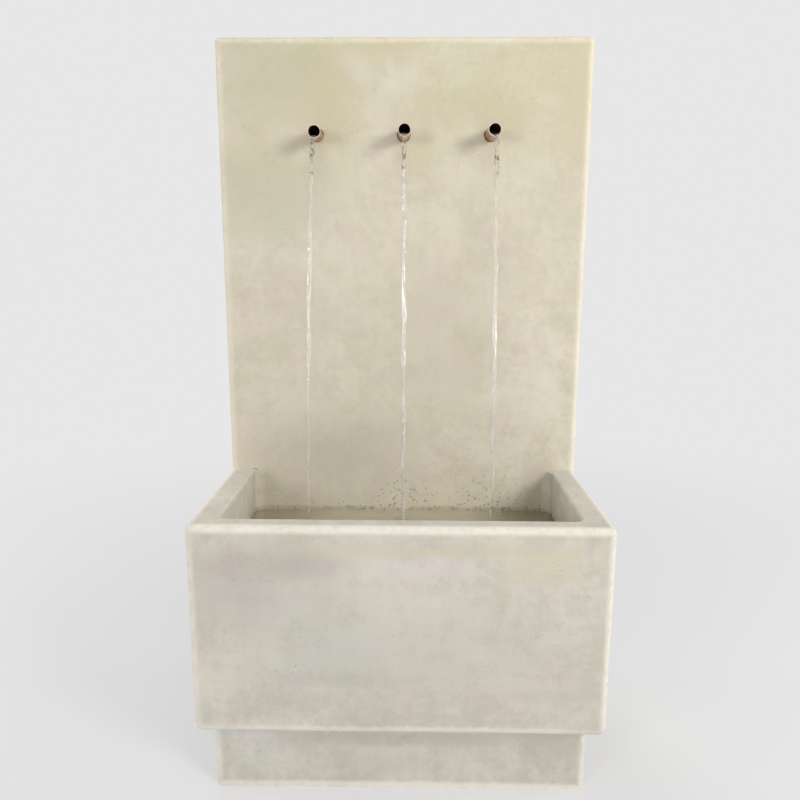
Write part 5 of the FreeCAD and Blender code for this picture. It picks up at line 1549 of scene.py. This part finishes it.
@dataclass
class Studio:
    """Camera, lamps, background and floor."""

    eye: Point = (0.0215, -1.6211, 1.1348)
    tilt_down: float = 0.1928
    roll: float = -0.0026
    turn_left: float = 0.0166
    lens: float = 32.83
    sensor_width: float = 36.0
    ambient: float = 0.33
    daylight: Colour = (0.93, 0.96, 1.0)
    background: Colour = (0.8, 0.8, 0.81)
    floor_half_size: float = 12.0
    floor_steps: tuple[int, int] = (8, 8)
    lamps: Sequence[Softbox] = (
        Softbox("key_softbox", 43, 20, 4.2, 1.25, 94, (1.0, 0.98, 0.955)),
        Softbox("fill_softbox", -35, 10, 4.4, 1.1, 43, (0.97, 0.975, 1.0)),
        Softbox("top_softbox", 5, 68, 6.0, 3.8, 110, (1.0, 0.985, 0.96)),
        Softbox("back_softbox", 200, 30, 4.6, 1.8, 66, (1.0, 0.985, 0.96)),
        Softbox("left_rim_light", -96, 6, 3.2, 0.9, 26, (1.0, 0.95, 0.98)),
        Softbox("right_rim_light", 96, 6, 3.2, 0.9, 26, (0.99, 1.0, 0.98)),
    )

    def build(self) -> None:
        """Set the studio up."""
        self.camera()
        for lamp in self.lamps:
            lamp.build()
        self.surroundings()
        self.floor()
        bpy.context.scene.view_settings.view_transform = "Standard"
        LOG.info("studio: camera, %d lamps, floor", len(self.lamps))

    def camera(self) -> None:
        """Stand the camera where the photograph was taken."""
        data = bpy.data.cameras.new("photo_camera")
        data.lens = self.lens
        data.sensor_width = self.sensor_width
        camera = bpy.data.objects.new("photo_camera", data)
        bpy.context.scene.collection.objects.link(camera)
        camera.location = self.eye
        camera.rotation_euler = (math.pi / 2 - self.tilt_down, self.roll, self.turn_left)
        bpy.context.scene.camera = camera

    def surroundings(self) -> None:
        """Light everything evenly, and show a pale background to the camera and through water."""
        bpy.context.scene.world = bpy.data.worlds.new("studio")
        graph = Graph(bpy.context.scene.world)
        rays = graph.node("ShaderNodeLightPath").socket.node.outputs
        seen, seen_through = (Value(graph, rays[f"Is {kind} Ray"])
                              for kind in ("Camera", "Transmission"))
        share = seen.or_more(seen_through)
        light = graph.node("ShaderNodeBackground",
                           inputs={"Color": self.daylight, "Strength": self.ambient})
        shown = graph.node("ShaderNodeBackground", inputs={"Color": self.background})
        graph.done(graph.mix(share, light, shown), "World")

    def floor(self) -> None:
        """Lay the floor."""
        half = self.floor_half_size
        floor = Workpiece.sheet("studio_floor", (-half, -half, 0), (half, half, 0),
                                self.floor_steps)
        floor.obj.data.materials.append(StudioFloor(self.background).build())


PANEL_STONE = CastStone(
    "panel_stone", (0.682, 0.627, 0.504), (0.555, 0.504, 0.403), (0.566, 0.514, 0.346),
    warm_from=1.15, warm_to=1.55, band_strength=0.12, softness=0.17, arris_strength=0.5,
    stain_front=FACE_Y, half_sizes=(HALF_WIDTH, 0.051, 0.758), middle=(0, 0.203, 0.868),
    water_level=WATER_Z, stains=(
        Stain(-0.12, 0.63, 0.24, 0.11, (0.46, 0.42, 0.35), 0.55),
        Stain(-0.32, 1.30, 0.14, 0.10, (0.48, 0.45, 0.315), 0.5),
        Stain(-0.33, 1.55, 0.20, 0.12, (0.47, 0.44, 0.30), 0.45),
        Stain(0.10, 0.95, 0.10, 0.16, (0.52, 0.49, 0.40), 0.35),
        Stain(0.33, 0.80, 0.12, 0.20, (0.73, 0.69, 0.58), 0.35),
        # Painted light: a pale patch that lightens the panel low down, against the shade of the
        # basin's right wall.
        Stain(0.16, 0.66, 0.20, 0.06, (0.72, 0.67, 0.57), 0.5),
        Stain(0.20, 1.55, 0.16, 0.06, (0.70, 0.67, 0.55), 0.25),
        # Painted shade: darker in the panel's right inner corner, where the basin's right wall
        # shades it.
        Stain(0.345, 0.555, 0.045, 0.07, (0.40, 0.335, 0.275), 0.55),
        Stain(-0.352, 0.555, 0.035, 0.07, (0.49, 0.47, 0.32), 0.5),
    ))
BASIN_STONE = CastStone(
    "basin_stone", (0.634, 0.597, 0.525), (0.504, 0.472, 0.405), (0.574, 0.527, 0.391),
    band_strength=0.18, stain_front=-BACK_Y, water_level=WATER_Z, drift=2.3, stains=(
        Stain(-0.25, 0.53, 0.15, 0.035, (0.415, 0.365, 0.335), 0.6),
        Stain(-0.33, 0.46, 0.09, 0.08, (0.444, 0.407, 0.391), 0.5),
        Stain(0.08, 0.562, 0.28, 0.016, (0.555, 0.509, 0.363), 0.7),
        Stain(0.27, 0.525, 0.1, 0.04, (0.583, 0.541, 0.372), 0.55),
        Stain(0.06, 0.52, 0.12, 0.03, (0.629, 0.574, 0.558), 0.6),
        Stain(-0.17, 0.38, 0.17, 0.12, (0.490, 0.500, 0.446), 0.5),
        Stain(-0.15, 0.278, 0.18, 0.016, (0.43, 0.40, 0.36), 0.25),
        Stain(0.3, 0.245, 0.12, 0.014, (0.43, 0.40, 0.37), 0.3),
        Stain(0.15, 0.34, 0.2, 0.1, (0.536, 0.490, 0.456), 0.4),
        # Painted highlight: a pale line along the foot of the basin's front, where the rounded
        # bottom edge is lit from the floor.
        Stain(0.0, 0.163, 0.42, 0.010, (0.80, 0.79, 0.73), 0.4),
    ))
MORTAR = CastStone("floated_mortar", (0.66, 0.62, 0.51), (0.50, 0.465, 0.37), (0.55, 0.5, 0.33),
                   water_level=WATER_Z, drift=5.1)
PLINTH_STONE = CastStone(
    "plinth_stone", (0.630, 0.600, 0.533), (0.488, 0.465, 0.402), (0.524, 0.493, 0.374),
    band_strength=0.14, stain_front=-0.222, half_sizes=(0.400, 0.238, 0.0745),
    middle=(0, 0.016, 0.0745), drift=7.7, stains=(
        # Painted shade: these two darken the top of the plinth's front, under the basin's overhang.
        Stain(-0.09, 0.122, 0.17, 0.022, (0.386, 0.372, 0.309), 0.6),
        Stain(0.10, 0.118, 0.12, 0.018, (0.405, 0.400, 0.327), 0.5),
        Stain(-0.06, 0.06, 0.10, 0.03, (0.552, 0.493, 0.439), 0.5),
        Stain(-0.33, 0.125, 0.09, 0.014, (0.607, 0.623, 0.598), 0.7),
        # Painted highlight: a pale line along the foot of the plinth's front, standing for light
        # from the floor.
        Stain(0.0, 0.008, 0.39, 0.010, (0.80, 0.78, 0.71), 0.45),
    ))


def main() -> None:
    """Build the scene piece by piece."""
    logging.basicConfig(level=logging.INFO, format="%(name)s %(message)s")
    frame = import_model()
    Fittings(frame["nodes"]).build()
    BackPanel().build(PANEL_STONE.build())
    Basin().build(BASIN_STONE.build())
    Plinth().build(PLINTH_STONE.build())
    Coves().build(MORTAR.build())
    Spouts().build(replace(Finish.COPPER.look, name="spout_copper", lip=LIP_Y).build())
    Pool().build(PoolWater("pool_water", (0.96, 0.96, 0.90), ripple=0.0006).build())
    Streams().build(FallingWater("falling_water").build())
    Studio().build()


if __name__ == "__main__":
    main()
